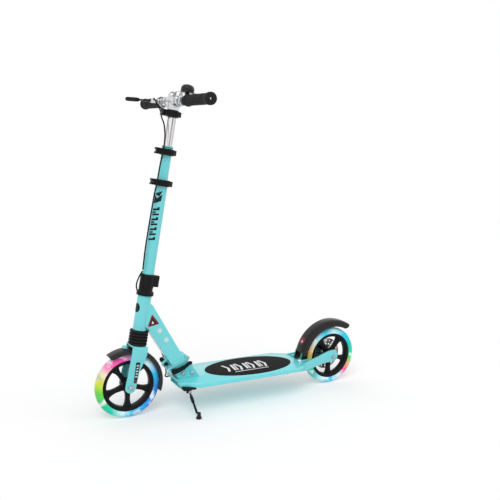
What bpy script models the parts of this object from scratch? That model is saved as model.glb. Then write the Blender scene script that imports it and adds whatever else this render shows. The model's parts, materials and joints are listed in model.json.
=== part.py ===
"""Folding kick scooter: deck, folding neck, sprung fork, telescoping column and folding handlebars.

Metres, +Z up. The front of the scooter is at -X, the rider's left (kickstand side) at -Y.
The origin is on the ground, half way between the two axles.
"""

from math import cos, pi, radians, sin

import bmesh
import bpy
from mathutils import Matrix, Vector

# Driving dimensions
WHEEL_RADIUS = 0.100
WHEELBASE = 0.744
RAKE = radians(8.5)
AXLE_LEAD = 0.0115
FIT_GAP = 0.0003
RUN_GAP = 0.0008

# Wheels
TYRE_HALF_WIDTH = 0.015
TYRE_FLAT = 0.0055
TYRE_DEPTH = 0.020
RIM_HALF_WIDTH = 0.0125
RIM_DEPTH = 0.012
WEB_HALF_WIDTH = 0.006
HUB_RADIUS = 0.021
BEARING_RADIUS = 0.011
AXLE_RADIUS = 0.004
SPOKES = 5
SPOKE_WIDTH = 0.015
DISC_RADIUS = 0.055
DISC_THICKNESS = 0.0018
DISC_Y = 0.0184

# Deck and rear fork
DECK_TOP = 0.103
DECK_THICKNESS = 0.0135
DECK_SKIN = 0.003
DECK_WALL = 0.0035
DECK_HALF_WIDTH = 0.090
DECK_NOSE_X = -0.222
DECK_NOSE_HALF = 0.055
DECK_SHOULDER_X = -0.165
DECK_TAPER_X = 0.185
DECK_END_X = 0.232
DECK_END_HALF = 0.064
RAIL_HALF_WIDTH = 0.038
RAIL_BOTTOM = 0.0765
TAPE_CENTRE_X = 0.047
TAPE_HALF_LENGTH = 0.157
TAPE_HALF_WIDTH = 0.080
TAPE_THICKNESS = 0.0010
ARM_THICKNESS = 0.0062
ARM_INNER_Y = 0.0258

# Folding joint
FLANGE_CENTRE = (-0.2150, 0.0, 0.1570)
FLANGE_TILT = radians(22)
FLANGE_THICKNESS = 0.006
FLANGE_HALF_WIDTH = 0.027
FLANGE_FRONT = -0.024
FLANGE_REAR = 0.0225
HINGE_OFFSET = 0.0305
HINGE_PIN_RADIUS = 0.003
KNUCKLE_RADIUS = 0.0062
KNUCKLE_HALF = 0.012
LATCH_ROOT = (-0.2345, 0.0, 0.1330)
LATCH_TILT = radians(-40.5)
BOLT_RADIUS = 0.003

# Neck and steering column; heights run along the steering axis from axle level
NECK_HALF_WIDTH = 0.020
NECK_WALL = 0.0025
HEAD_BOTTOM = 0.1709
HEAD_TOP = 0.2770
HEAD_RADIUS = 0.021
HEAD_WALL = 0.003
STEERER_RADIUS = 0.0125
STEERER_WALL = 0.002
CROWN_TOP = 0.1240
CROWN_THICKNESS = 0.0050
COLUMN_RADIUS = 0.018
COLUMN_WALL = 0.002
UPPER_RADIUS = 0.0155
UPPER_WALL = 0.0022
INNER_RADIUS = 0.0128
INNER_WALL = 0.0016
COLLAR_FLANGE_RADIUS = 0.026
COLLAR_FLANGE_HEIGHT = 0.0106
COLLAR_TOP = 0.3418
MID_CLAMP_HEIGHT = 0.6158
UPPER_TUBE_BOTTOM = 0.4500
TOP_CLAMP_HEIGHT = 0.7070
UPPER_TUBE_TOP = 0.7250
STEM_CLAMP_HEIGHT = 0.8190
BAR_HEIGHT = 0.8554
CLAMP_HALF_HEIGHT = 0.0095
CLAMP_WALL = 0.0050
EAR_REACH = 0.036
FORK_LEG_INNER = 0.0262
FORK_LEG_THICKNESS = 0.005
BELLOWS_RIBS = 5
BELLOWS_RADIUS = 0.0285

# Handlebar
BAR_RADIUS = 0.011
BAR_PIVOT_Y = 0.058
BAR_TUBE_START = 0.0710
BAR_HALF_LENGTH = 0.2440
HALF_SPAN = 0.2485
GRIP_START = 0.098
GRIP_RADIUS = 0.0155
CHEEK_RADIUS = 0.0120

# Rear mudguard and disc brake
MUDGUARD_PIN = (0.2530, 0.0, 0.0985)
MUDGUARD_PIN_RADIUS = 0.0025
GUARD_HALF_WIDTH = 0.0235
GUARD_WALL = 0.0030
REAR_GUARD_RADIUS = 0.1310
CALIPER_PIVOT = (0.334, 0.0375, 0.1400)

# Hinge bracket, fold lever and kickstand
BRACKET_BOLTS = {
    "bracket_bolt_front": (-0.2010, 0.0, 0.1205),
    "bracket_bolt_rear": (-0.1715, 0.0, 0.1190),
}
PLATE_INNER = 0.0215
PLATE_THICKNESS = 0.0050
LEVER_PIN_RADIUS = 0.0030
LEVER_PLATE = 0.0076
LEVER_PLATE_Y = -0.0341
KICK_PIVOT = (-0.1970, -0.0690, 0.0745)
KICK_FOOT = (-0.1810, -0.1065, 0.0)

# Steerer, spring and fork stem
STEERER_BOTTOM = 0.1480
STEERER_TOP = 0.3300
SPRING_TOP = 0.2600
STEM_TOP = 0.2050

# Head, bell and brake lever
T_BARREL_RADIUS = 0.0165
T_BARREL_HALF = 0.0445
INNER_TUBE_BOTTOM = 0.5600
BELL_X = 0.0
BELL_Y = -0.0830
BELL_BASE = 0.0215
BELL_TOP = 0.0450
BELL_RADIUS = 0.0195
PERCH_Y = 0.0840
LEVER_PIVOT = (-0.0290, 0.1040)

# Brake cable: points along its route, in the steering frame above the neck and in the world below
CABLE_RADIUS = 0.0022
CABLE_BAR = [
    (-0.0360, 0.0765, 0.8570),
    (-0.0400, 0.0600, 0.8580),
    (-0.0380, 0.0460, 0.8460),
    (-0.0260, 0.0340, 0.8250),
    (-0.0240, 0.0220, 0.8060),
    (-0.0245, -0.0080, 0.7840),
    (-0.0245, -0.0260, 0.7570),
    (-0.0245, -0.0330, 0.7330),
]
CABLE_COLUMN = [
    (-0.0245, -0.0333, 0.7320),
    (-0.0250, -0.0340, 0.7050),
    (-0.0280, -0.0340, 0.6600),
    (-0.0292, -0.0345, 0.6150),
    (-0.0285, -0.0260, 0.5800),
    (-0.0255, -0.0120, 0.5000),
    (-0.0245, -0.0030, 0.4200),
    (-0.0215, 0.0100, 0.3555),
]
CABLE_NECK_TOP = [
    (-0.0213, 0.0110, 0.3540),
    (-0.0190, 0.0195, 0.3280),
    (-0.0100, 0.0285, 0.3000),
    (0.0020, 0.0300, 0.2750),
    (0.0120, 0.0290, 0.2450),
    (0.0240, 0.0270, 0.2150),
    (0.0340, 0.0250, 0.1900),
]
CABLE_NECK_LOW = [
    (-0.2905, 0.0245, 0.2500),
    (-0.2700, 0.0245, 0.2150),
    (-0.2540, 0.0290, 0.1850),
    (-0.2420, 0.0320, 0.1560),
]
CABLE_DECK = [
    (-0.2418, 0.0320, 0.1550),
    (-0.2360, 0.0330, 0.1280),
    (-0.2300, 0.0420, 0.1040),
    (-0.2270, 0.0560, 0.0880),
    (-0.2100, 0.0620, 0.0830),
    (-0.1600, 0.0660, 0.0900),
    (0.0000, 0.0700, 0.0930),
    (0.1700, 0.0690, 0.0900),
    (0.2250, 0.0640, 0.0830),
    (0.2600, 0.0620, 0.0950),
    (0.2900, 0.0500, 0.1200),
    (0.3100, 0.0360, 0.1360),
    (0.3200, 0.0290, 0.1400),
]

AXLE_Z = WHEEL_RADIUS
FRONT_AXLE = Vector((-WHEELBASE / 2, 0.0, AXLE_Z))
REAR_AXLE = Vector((WHEELBASE / 2, 0.0, AXLE_Z))
TYRE_INNER = WHEEL_RADIUS - TYRE_DEPTH
RIM_RADIUS = TYRE_INNER - FIT_GAP
FLANGE = Matrix.Translation(FLANGE_CENTRE) @ Matrix.Rotation(-FLANGE_TILT, 4, "Y")
LATCH = Matrix.Translation(LATCH_ROOT) @ Matrix.Rotation(LATCH_TILT, 4, "Y")
STEER = Matrix.Translation(FRONT_AXLE + Vector((AXLE_LEAD, 0, 0))) @ Matrix.Rotation(RAKE, 4, "Y")
WORLD = Matrix.Identity(4)
HINGE = FLANGE @ Vector((HINGE_OFFSET, 0, 0))
ALONG_Y = (pi / 2, 0, 0)

COLOURS = {
    "turquoise": ((0.127, 0.723, 0.753), 0.30, 0.0),
    "black_plastic": ((0.012, 0.012, 0.013), 0.40, 0.0),
    "black_rubber": ((0.016, 0.016, 0.017), 0.75, 0.0),
    "grip_tape": ((0.020, 0.018, 0.018), 0.90, 0.0),
    "clear_tyre": ((0.55, 0.85, 0.90), 0.20, 0.0),
    "chrome": ((0.78, 0.78, 0.80), 0.14, 1.0),
    "steel": ((0.55, 0.55, 0.57), 0.35, 1.0),
    "spring_steel": ((0.40, 0.40, 0.42), 0.40, 1.0),
}

parts = bpy.data.collections.new("kick_scooter")
cutters = bpy.data.collections.new("cutters")


def clear_scene():
    for old in list(bpy.data.objects):
        bpy.data.objects.remove(old, do_unlink=True)
    bpy.context.scene.collection.children.link(parts)
    bpy.context.scene.collection.children.link(cutters)


def finish_for(name):
    """The Principled material of this name, made on first use."""
    found = bpy.data.materials.get(name)
    if found:
        return found
    colour, roughness, metallic = COLOURS[name]
    made = bpy.data.materials.new(name)
    made.use_nodes = True
    shader = made.node_tree.nodes["Principled BSDF"]
    shader.inputs["Base Color"].default_value = (*colour, 1)
    shader.inputs["Roughness"].default_value = roughness
    shader.inputs["Metallic"].default_value = metallic
    made.diffuse_color = (*colour, 1)
    return made


def joint_empty(name, location, rotation=(0, 0, 0), parent=None):
    """An empty on a joint's axis, which carries the moving pieces."""
    empty = bpy.data.objects.new(name, None)
    empty.matrix_world = Matrix.Translation(location) @ rotation_matrix(rotation)
    parts.objects.link(empty)
    bpy.context.view_layer.update()
    if parent:
        empty.parent = parent
        empty.matrix_parent_inverse = parent.matrix_world.inverted()
    bpy.context.view_layer.update()
    return empty


def rotation_matrix(rotation):
    return (
        Matrix.Rotation(rotation[2], 4, "Z")
        @ Matrix.Rotation(rotation[1], 4, "Y")
        @ Matrix.Rotation(rotation[0], 4, "X")
    )


def place(name, mesh, finish=None, frame=WORLD, at=(0, 0, 0), turn=(0, 0, 0), carrier=None):
    """Make an object at a place in a frame, and hang it on its joint's empty."""
    obj = bpy.data.objects.new(name, mesh)
    (parts if finish else cutters).objects.link(obj)
    if finish:
        mesh.materials.clear()
        mesh.materials.append(finish_for(finish))
    else:
        obj.hide_render = True
        obj.display_type = "WIRE"
    obj.matrix_world = frame @ Matrix.Translation(at) @ rotation_matrix(turn)
    if carrier:
        obj.parent = carrier
        obj.matrix_parent_inverse = carrier.matrix_world.inverted()
    return obj


def mesh_from(bm, name):
    bmesh.ops.recalc_face_normals(bm, faces=bm.faces)
    mesh = bpy.data.meshes.new(name)
    bm.to_mesh(mesh)
    bm.free()
    mesh.shade_smooth()
    mesh.set_sharp_from_angle(angle=radians(35))
    return mesh


def box(size, centre=(0, 0, 0)):
    bm = bmesh.new()
    bmesh.ops.create_cube(bm, size=1, matrix=Matrix.Translation(centre) @ Matrix.Diagonal((*size, 1)))
    return mesh_from(bm, "box")


def rod(radius, length, centre=(0, 0, 0), sides=16, top_radius=None):
    """A cylinder or cone along Z about its centre."""
    bm = bmesh.new()
    bmesh.ops.create_cone(
        bm,
        cap_ends=True,
        segments=sides,
        radius1=radius,
        radius2=radius if top_radius is None else top_radius,
        depth=length,
        matrix=Matrix.Translation(centre),
    )
    return mesh_from(bm, "rod")


def turned(profile, steps, closed=True):
    """A profile of (radius, height) points turned about Z; closed profiles are rings."""
    bm = bmesh.new()
    points = [bm.verts.new((radius, 0, height)) for radius, height in profile]
    pairs = list(zip(points, points[1:]))
    if closed:
        pairs.append((points[-1], points[0]))
    for first, second in pairs:
        bm.edges.new((first, second))
    mesh = bpy.data.meshes.new("profile")
    bm.to_mesh(mesh)
    bm.free()
    carrier = bpy.data.objects.new("profile", mesh)
    bpy.context.scene.collection.objects.link(carrier)
    screw = carrier.modifiers.new("turn", "SCREW")
    screw.steps = steps
    screw.render_steps = steps
    screw.use_merge_vertices = True
    screw.merge_threshold = 0.00001
    return taken(carrier)


def taken(carrier):
    """The evaluated mesh of a helper object, welded and facing out; the helper is removed."""
    bpy.context.view_layer.update()
    graph = bpy.context.evaluated_depsgraph_get()
    mesh = bpy.data.meshes.new_from_object(carrier.evaluated_get(graph))
    bpy.data.objects.remove(carrier, do_unlink=True)
    bm = bmesh.new()
    bm.from_mesh(mesh)
    bmesh.ops.remove_doubles(bm, verts=bm.verts, dist=0.00001)
    bpy.data.meshes.remove(mesh)
    return mesh_from(bm, "shape")


def flat(outline, thickness):
    """A flat outline in XY, with this thickness about Z=0."""
    curve = bpy.data.curves.new("outline", "CURVE")
    curve.dimensions = "2D"
    curve.fill_mode = "BOTH"
    curve.extrude = thickness / 2
    spline = curve.splines.new("POLY")
    spline.points.add(len(outline) - 1)
    for point, (x, y) in zip(spline.points, outline):
        point.co = (x, y, 0, 1)
    spline.use_cyclic_u = True
    carrier = bpy.data.objects.new("outline", curve)
    bpy.context.scene.collection.objects.link(carrier)
    return taken(carrier)


def side_plate(outline, thickness, centre_y=0.0):
    """An outline of (x, z) points made a plate that stands along X and Z."""
    mesh = flat(outline, thickness)
    mesh.transform(Matrix.Translation((0, centre_y, 0)) @ Matrix.Rotation(pi / 2, 4, "X"))
    return mesh


def wire(points, radius, resolution=2):
    """A cord along points, read from a smooth curve through them."""
    curve = bpy.data.curves.new("wire", "CURVE")
    curve.dimensions = "3D"
    curve.bevel_depth = radius
    curve.bevel_resolution = resolution
    curve.use_fill_caps = True
    smooth = smooth_path([Vector(point) for point in points])
    spline = curve.splines.new("POLY")
    spline.points.add(len(smooth) - 1)
    for target, point in zip(spline.points, smooth):
        target.co = (*point, 1)
    carrier = bpy.data.objects.new("wire", curve)
    bpy.context.scene.collection.objects.link(carrier)
    return taken(carrier)


def smooth_path(points, step=0.016):
    """Points about one step apart on a Catmull-Rom curve through the given points."""
    ends = [points[0] * 2 - points[1], *points, points[-1] * 2 - points[-2]]
    path = [points[0]]
    for before, start, end, after in zip(ends, ends[1:], ends[2:], ends[3:]):
        count = max(1, round((end - start).length / step))
        for index in range(1, count + 1):
            t = index / count
            path.append(
                0.5
                * (
                    2 * start
                    + (end - before) * t
                    + (2 * before - 5 * start + 4 * end - after) * t * t
                    + (3 * start - before - 3 * end + after) * t**3
                )
            )
    return path


def arc(centre, radius, start, end, count):
    """Points on an arc, angles in degrees."""
    angles = (radians(start + (end - start) * index / count) for index in range(count + 1))
    return [(centre[0] + radius * cos(angle), centre[1] + radius * sin(angle)) for angle in angles]


def boolean(obj, operation, *meshes, frame=WORLD, at=(0, 0, 0), turn=(0, 0, 0), solver="EXACT"):
    """Join to, or cut from, an object the shapes given in a frame, and keep the solid that results."""
    helpers = []
    for mesh in meshes:
        helper = place(obj.name + "_tool", mesh, None, frame, at, turn)
        modifier = obj.modifiers.new(operation.lower(), "BOOLEAN")
        modifier.operation = operation
        modifier.object = helper
        modifier.solver = solver
        helpers.append(helper)
    bpy.context.view_layer.update()
    graph = bpy.context.evaluated_depsgraph_get()
    result = bpy.data.meshes.new_from_object(obj.evaluated_get(graph))
    obj.modifiers.clear()
    obj.data = result
    for helper in helpers:
        bpy.data.objects.remove(helper, do_unlink=True)
    result.shade_smooth()
    result.set_sharp_from_angle(angle=radians(35))
    return obj


def join(obj, *meshes, **where):
    return boolean(obj, "UNION", *meshes, **where)


def cut(obj, *meshes, **where):
    return boolean(obj, "DIFFERENCE", *meshes, **where)


def pipe(outer, inner, bottom, top, steps=24):
    return turned([(outer, top), (outer, bottom), (inner, bottom), (inner, top)], steps)


# Wheels ---------------------------------------------------------------------------------------


def tyre_mesh():
    shoulder = WHEEL_RADIUS - 0.0035
    side = WHEEL_RADIUS - 0.0110
    half = [
        (WHEEL_RADIUS, TYRE_FLAT),
        (shoulder, 0.0115),
        (side, TYRE_HALF_WIDTH),
        (TYRE_INNER, TYRE_HALF_WIDTH - 0.0015),
    ]
    return turned(half + [(radius, -width) for radius, width in reversed(half)], 40)


def window_outline(centre_angle):
    """One opening between two spokes: two arcs joined by the spokes' straight sides."""
    inner = HUB_RADIUS + 0.004
    outer = RIM_RADIUS - RIM_DEPTH - 0.001
    half_inner = 180 / SPOKES - (SPOKE_WIDTH / 2 + 0.002) / inner * 180 / pi
    half_outer = 180 / SPOKES - (SPOKE_WIDTH / 2 + 0.001) / outer * 180 / pi
    near = arc((0, 0), inner, centre_angle + half_inner, centre_angle - half_inner, 2)
    far = arc((0, 0), outer, centre_angle - half_outer, centre_angle + half_outer, 5)
    return near + far


def rim_mesh():
    """A thin-webbed disc with a thick rim and hub, opened between its spokes."""
    ring = RIM_RADIUS - RIM_DEPTH
    bore = BEARING_RADIUS + FIT_GAP
    half = [
        (RIM_RADIUS, RIM_HALF_WIDTH),
        (ring, RIM_HALF_WIDTH),
        (ring - 0.001, WEB_HALF_WIDTH),
        (HUB_RADIUS + 0.001, WEB_HALF_WIDTH),
        (HUB_RADIUS, RIM_HALF_WIDTH),
        (bore, RIM_HALF_WIDTH),
    ]
    disc = turned(half + [(radius, -width) for radius, width in reversed(half)], 30)
    rim = place("rim_blank", disc, "black_plastic")
    windows = [
        flat(window_outline(-90 + 180 / SPOKES + index * 360 / SPOKES), 4 * WEB_HALF_WIDTH)
        for index in range(SPOKES)
    ]
    cut(rim, *windows)
    mesh = rim.data
    bpy.data.objects.remove(rim, do_unlink=True)
    return mesh


def make_wheel(end, axle, carrier, tyre, rim):
    place(end + "_tyre", tyre, "clear_tyre", at=axle, turn=ALONG_Y, carrier=carrier)
    place(end + "_rim", rim, "black_plastic", at=axle, turn=ALONG_Y, carrier=carrier)
    bearing = pipe(BEARING_RADIUS, AXLE_RADIUS + FIT_GAP, -RIM_HALF_WIDTH, RIM_HALF_WIDTH, 20)
    place(end + "_bearing", bearing, "steel", at=axle, turn=ALONG_Y, carrier=carrier)


def make_brake_disc(carrier):
    disc = turned(
        [
            (DISC_RADIUS, DISC_THICKNESS / 2),
            (DISC_RADIUS, -DISC_THICKNESS / 2),
            (HUB_RADIUS - 0.002, -DISC_THICKNESS / 2),
            (HUB_RADIUS - 0.002, RIM_HALF_WIDTH + FIT_GAP - DISC_Y),
            (HUB_RADIUS - 0.006, RIM_HALF_WIDTH + FIT_GAP - DISC_Y),
            (HUB_RADIUS - 0.006, DISC_THICKNESS / 2),
        ],
        40,
    )
    disc.transform(Matrix.Rotation(-pi / 2, 4, "X"))
    place("brake_disc", disc, "steel", at=REAR_AXLE + Vector((0, DISC_Y, 0)), carrier=carrier)


def axle_mesh(outer_face):
    """A bolt along Z with a head, spacer collars beside the bearing, and a domed nut."""
    collar_start = RIM_HALF_WIDTH + FIT_GAP
    collar_end = ARM_INNER_Y - FIT_GAP
    head = outer_face + FIT_GAP
    top = head + 0.0045
    half = [
        (0, top),
        (0.0050, top),
        (0.0068, top - 0.001),
        (0.0068, head),
        (AXLE_RADIUS, head),
        (AXLE_RADIUS, collar_end),
        (0.0065, collar_end),
        (0.0065, collar_start),
        (AXLE_RADIUS, collar_start),
    ]
    return turned(half + [(radius, -z) for radius, z in reversed(half)], 14, closed=False)


# Deck -----------------------------------------------------------------------------------------


def deck_outline(inset=0.0, rear_past=0.0):
    half = [
        (DECK_NOSE_X + inset, DECK_NOSE_HALF - inset * 0.6),
        (DECK_SHOULDER_X + inset * 0.5, DECK_HALF_WIDTH - inset),
        (DECK_TAPER_X, DECK_HALF_WIDTH - inset),
        (DECK_END_X + rear_past, DECK_END_HALF - inset - rear_past * 0.5),
    ]
    return half + [(x, -y) for x, y in reversed(half)]


def make_deck():
    """A tray with an open back, a channel rail under it, and a parking tab."""
    plate = flat(deck_outline(), DECK_THICKNESS)
    middle = DECK_TOP - DECK_THICKNESS / 2
    deck = place("deck", plate, "turquoise", at=(0, 0, middle))
    deck.modifiers.new("edge", "BEVEL").width = 0.0015
    pocket = flat(deck_outline(DECK_WALL, 0.010), DECK_THICKNESS)
    cut(deck, pocket, at=(0, 0, middle - DECK_SKIN))
    rail_front = DECK_NOSE_X + 0.006
    rail_back = DECK_END_X - 0.006
    rail_top = DECK_TOP - DECK_SKIN + 0.001
    rail_size = (rail_back - rail_front, 2 * RAIL_HALF_WIDTH, rail_top - RAIL_BOTTOM)
    rail_centre = ((rail_front + rail_back) / 2, 0, (rail_top + RAIL_BOTTOM) / 2)
    join(deck, box(rail_size, rail_centre))
    tab = [(0.160, RAIL_BOTTOM + 0.001), (0.186, RAIL_BOTTOM + 0.001), (0.184, 0.0640), (0.178, 0.0640)]
    join(deck, side_plate(tab, 0.006, -0.030))
    hollow = (rail_size[0] + 0.04, 2 * (RAIL_HALF_WIDTH - 0.0025), rail_size[2] - 0.0065)
    cut(deck, box(hollow, (rail_centre[0], 0, RAIL_BOTTOM + 0.0025 + hollow[2] / 2)))
    join_hinge_block(deck)


def make_grip_tape():
    count = 40
    ellipse = [
        (TAPE_HALF_LENGTH * cos(2 * pi * index / count), TAPE_HALF_WIDTH * sin(2 * pi * index / count))
        for index in range(count)
    ]
    height = DECK_TOP + FIT_GAP + TAPE_THICKNESS / 2
    place("grip_tape", flat(ellipse, TAPE_THICKNESS), "grip_tape", at=(TAPE_CENTRE_X, 0, height))


def arm_plan(side):
    """One rear arm from above: it runs in from the deck's edge to the axle."""
    outer = [(0.150, 0.0590), (0.234, 0.0590), (0.328, 0.0345), (0.345, 0.0320), (0.400, 0.0320)]
    inner = [
        (0.400, ARM_INNER_Y),
        (0.342, ARM_INNER_Y),
        (0.322, 0.0300),
        (0.242, 0.0510),
        (0.150, RAIL_HALF_WIDTH + FIT_GAP),
    ]
    return [(x, side * y) for x, y in outer + inner]


def arm_side():
    """The rear arms from the side, with a round end about the axle."""
    under = DECK_TOP - DECK_SKIN - FIT_GAP
    return [
        (0.140, under),
        (0.140, RAIL_BOTTOM + 0.001),
        (0.240, RAIL_BOTTOM + 0.001),
        (0.340, 0.0840),
        (0.372, 0.0845),
        (0.385, 0.0915),
        (0.3885, 0.1020),
        (0.3860, 0.1150),
        (0.3780, 0.1245),
        (0.3660, 0.1262),
        (0.300, 0.1140),
        (DECK_END_X + FIT_GAP, DECK_TOP + 0.001),
        (DECK_END_X + FIT_GAP, under),
    ]


def make_rear_fork():
    """Two converging arms, a cross plate behind the rail and two ears for the mudguard's pin."""
    arm = place("rear_fork", flat(arm_plan(1), 0.2), "turquoise", at=(0, 0, AXLE_Z))
    boolean(arm, "INTERSECT", side_plate(arm_side(), 0.3))
    far = arm.data.copy()
    far.transform(Matrix.Translation((0, 0, AXLE_Z)))
    far.transform(Matrix.Scale(-1, 4, (0, 1, 0)))
    far.flip_normals()
    join(arm, far)
    cross_front = DECK_END_X + FIT_GAP
    cross = box((0.007, 0.108, 0.020), (cross_front + 0.0035, 0, RAIL_BOTTOM + 0.011))
    ears = [
        box((0.026, 0.005, 0.022), (cross_front + 0.0160, side * 0.0305, MUDGUARD_PIN[2] - 0.003))
        for side in (-1, 1)
    ]
    join(arm, cross, *ears)
    cut(arm, rod(MUDGUARD_PIN_RADIUS + FIT_GAP, 0.09), at=MUDGUARD_PIN, turn=ALONG_Y)
    cut(arm, rod(AXLE_RADIUS + FIT_GAP, 0.09), at=REAR_AXLE, turn=ALONG_Y)


def make_mudguard_pin():
    place("mudguard_pin", rod(MUDGUARD_PIN_RADIUS, 0.066, sides=12), "steel", at=MUDGUARD_PIN, turn=ALONG_Y)


def guard_shell(radius_at, start, end, count, half_width, depth):
    """A channel swept over a wheel: crown outside, skirts down both sides, closed ends."""
    section = [
        (0.0, half_width * 0.7),
        (-0.004, half_width),
        (-depth, half_width),
        (-depth, half_width - GUARD_WALL),
        (-GUARD_WALL, half_width - GUARD_WALL),
    ]
    section += [(radial, -width) for radial, width in reversed(section)]
    bm = bmesh.new()
    rings = []
    for index in range(count + 1):
        angle = radians(start + (end - start) * index / count)
        radius = radius_at(index / count)
        ring = [
            bm.verts.new(((radius + radial) * cos(angle), width, (radius + radial) * sin(angle)))
            for radial, width in section
        ]
        rings.append(ring)
    for ring, following in zip(rings, rings[1:]):
        for index in range(len(section)):
            after = (index + 1) % len(section)
            bm.faces.new((ring[index], ring[after], following[after], following[index]))
    bm.faces.new(rings[0])
    bm.faces.new(reversed(rings[-1]))
    bmesh.ops.triangulate(bm, faces=[face for face in bm.faces if len(face.verts) > 4])
    return mesh_from(bm, "guard")


def make_rear_mudguard(carrier):
    """The foot brake: a channel over the tyre, ears on the pin and a block that meets the tyre."""
    shell = guard_shell(lambda t: REAR_GUARD_RADIUS, 57, 168, 22, GUARD_HALF_WIDTH, 0.0235)
    guard = place("rear_mudguard", shell, "black_plastic", at=REAR_AXLE, carrier=carrier)
    foot = [
        (0.2470, 0.1330),
        (0.2415, 0.1000),
        (0.2470, 0.0925),
        (0.2600, 0.0935),
        (0.2660, 0.1030),
        (0.2680, 0.1300),
    ]
    for side in (-1, 1):
        centre_y = side * (GUARD_HALF_WIDTH - GUARD_WALL / 2 - 0.0006)
        join(guard, side_plate(foot, GUARD_WALL + 0.001, centre_y), solver="MANIFOLD")
    pad = arc((0, 0), 0.1065, 78, 100, 5) + arc((0, 0), 0.1290, 100, 78, 5)
    block = [(REAR_AXLE.x + x, AXLE_Z + z) for x, z in pad]
    join(guard, side_plate(block, 0.030), solver="MANIFOLD")
    cut(guard, rod(MUDGUARD_PIN_RADIUS + FIT_GAP, 0.09), at=MUDGUARD_PIN, turn=ALONG_Y)


def make_caliper():
    """The disc brake's body, which straddles the disc above the far arm."""
    outline = [(0.322, 0.1224), (0.352, 0.1265), (0.354, 0.1400), (0.346, 0.1530), (0.322, 0.1500)]
    caliper = place("brake_caliper", side_plate(outline, 0.0198, 0.0234), "black_plastic")
    slot = rod(DISC_RADIUS + 0.0012, DISC_THICKNESS + 0.0016, sides=40)
    cut(caliper, slot, at=REAR_AXLE + Vector((0, DISC_Y, 0)), turn=ALONG_Y)


def make_caliper_arm(carrier):
    outline = arc((0.334, 0.1400), 0.0065, 150, 390, 8) + arc((0.324, 0.1580), 0.004, 30, 150, 4)
    place("caliper_arm", side_plate(outline, 0.004, 0.0357), "steel", carrier=carrier)


# Folding joint ----------------------------------------------------------------------------------


def flange_plate(side, front, extra=0.0):
    """A plate on one side of the joint plane: side is +1 for the neck's, -1 for the deck's."""
    length = FLANGE_REAR - front
    centre = (front + length / 2, 0, side * (FIT_GAP / 2 + FLANGE_THICKNESS / 2))
    return box((length, 2 * FLANGE_HALF_WIDTH + extra, FLANGE_THICKNESS), centre)


def knuckle_parts(side, centre_y, width):
    """A hinge knuckle about the pin and the strap that ties it to its plate, in the flange frame."""
    barrel = rod(KNUCKLE_RADIUS, width, sides=20)
    barrel.transform(Matrix.Translation((HINGE_OFFSET, centre_y, 0)) @ Matrix.Rotation(pi / 2, 4, "X"))
    strap_front = FLANGE_REAR - 0.006
    strap = box(
        (HINGE_OFFSET - strap_front, width, FLANGE_THICKNESS - 0.0006),
        ((HINGE_OFFSET + strap_front) / 2, centre_y, side * (FLANGE_THICKNESS / 2 + 0.0004)),
    )
    return barrel, strap


def make_hinge_bracket():
    """Two side plates that stand on the deck, the lower flange plate and the outer hinge knuckles."""
    foot = DECK_TOP + FIT_GAP
    front_top = FLANGE @ Vector((FLANGE_FRONT - 0.004, 0, -0.005))
    rear_top = FLANGE @ Vector((HINGE_OFFSET - 0.003, 0, -0.005))
    outline = [
        (-0.2150, foot),
        (front_top.x, front_top.z),
        (rear_top.x, rear_top.z),
        (-0.1716, 0.1440),
        (-0.1455, foot),
    ]
    centre_y = PLATE_INNER + PLATE_THICKNESS / 2
    bracket = place("hinge_bracket", side_plate(outline, PLATE_THICKNESS, centre_y), "turquoise")
    join(bracket, side_plate(outline, PLATE_THICKNESS, -centre_y), flange_at(flange_plate(-1, -0.042)))
    side_centre = (KNUCKLE_HALF + RUN_GAP + FLANGE_HALF_WIDTH) / 2
    side_width = FLANGE_HALF_WIDTH - KNUCKLE_HALF - RUN_GAP
    for side in (-1, 1):
        join(bracket, *[flange_at(mesh) for mesh in knuckle_parts(-1, side * side_centre, side_width)])
    slot = box((0.030, 2 * BOLT_RADIUS + 0.002, 0.020), (-0.0405, 0, -0.003))
    pin = rod(HINGE_PIN_RADIUS + FIT_GAP, 0.09, sides=16)
    pin.transform(Matrix.Translation((HINGE_OFFSET, 0, 0)) @ Matrix.Rotation(pi / 2, 4, "X"))
    cut(bracket, flange_at(slot), flange_at(pin))
    for place_at in BRACKET_BOLTS.values():
        cut(bracket, rod(BOLT_RADIUS + FIT_GAP, 0.09, sides=16), at=place_at, turn=ALONG_Y)
    for side in (-1, 1):
        lug = arc((LATCH_ROOT[0], LATCH_ROOT[2]), 0.0075, 100, 330, 8)
        lug += [(-0.2180, 0.1350), (-0.2230, 0.1470)]
        join(bracket, side_plate(lug, 0.0075, side * 0.0183))
    cut(bracket, rod(LEVER_PIN_RADIUS + FIT_GAP, 0.06, sides=16), at=LATCH_ROOT, turn=ALONG_Y)


def flange_at(mesh):
    """The same shape, moved from the flange's frame to the world's."""
    mesh.transform(FLANGE)
    return mesh


def join_hinge_block(deck):
    """The block on the deck that the bracket's side plates clamp."""
    foot = DECK_TOP - 0.0010
    outline = [(-0.2130, foot), (-0.2170, 0.1240), (-0.2050, 0.1330), (-0.1700, 0.1330), (-0.1500, foot)]
    join(deck, side_plate(outline, 2 * (PLATE_INNER - FIT_GAP)))
    for place_at in BRACKET_BOLTS.values():
        cut(deck, rod(BOLT_RADIUS + FIT_GAP, 0.09, sides=16), at=place_at, turn=ALONG_Y)


def make_bracket_bolts():
    face = PLATE_INNER + PLATE_THICKNESS + FIT_GAP
    half = [
        (0, face + 0.004),
        (0.0042, face + 0.004),
        (0.0055, face + 0.003),
        (0.0055, face),
        (BOLT_RADIUS, face),
    ]
    profile = half + [(radius, -height) for radius, height in reversed(half)]
    for name, place_at in BRACKET_BOLTS.items():
        place(name, turned(profile, 16, closed=False), "steel", at=place_at, turn=ALONG_Y)


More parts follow.
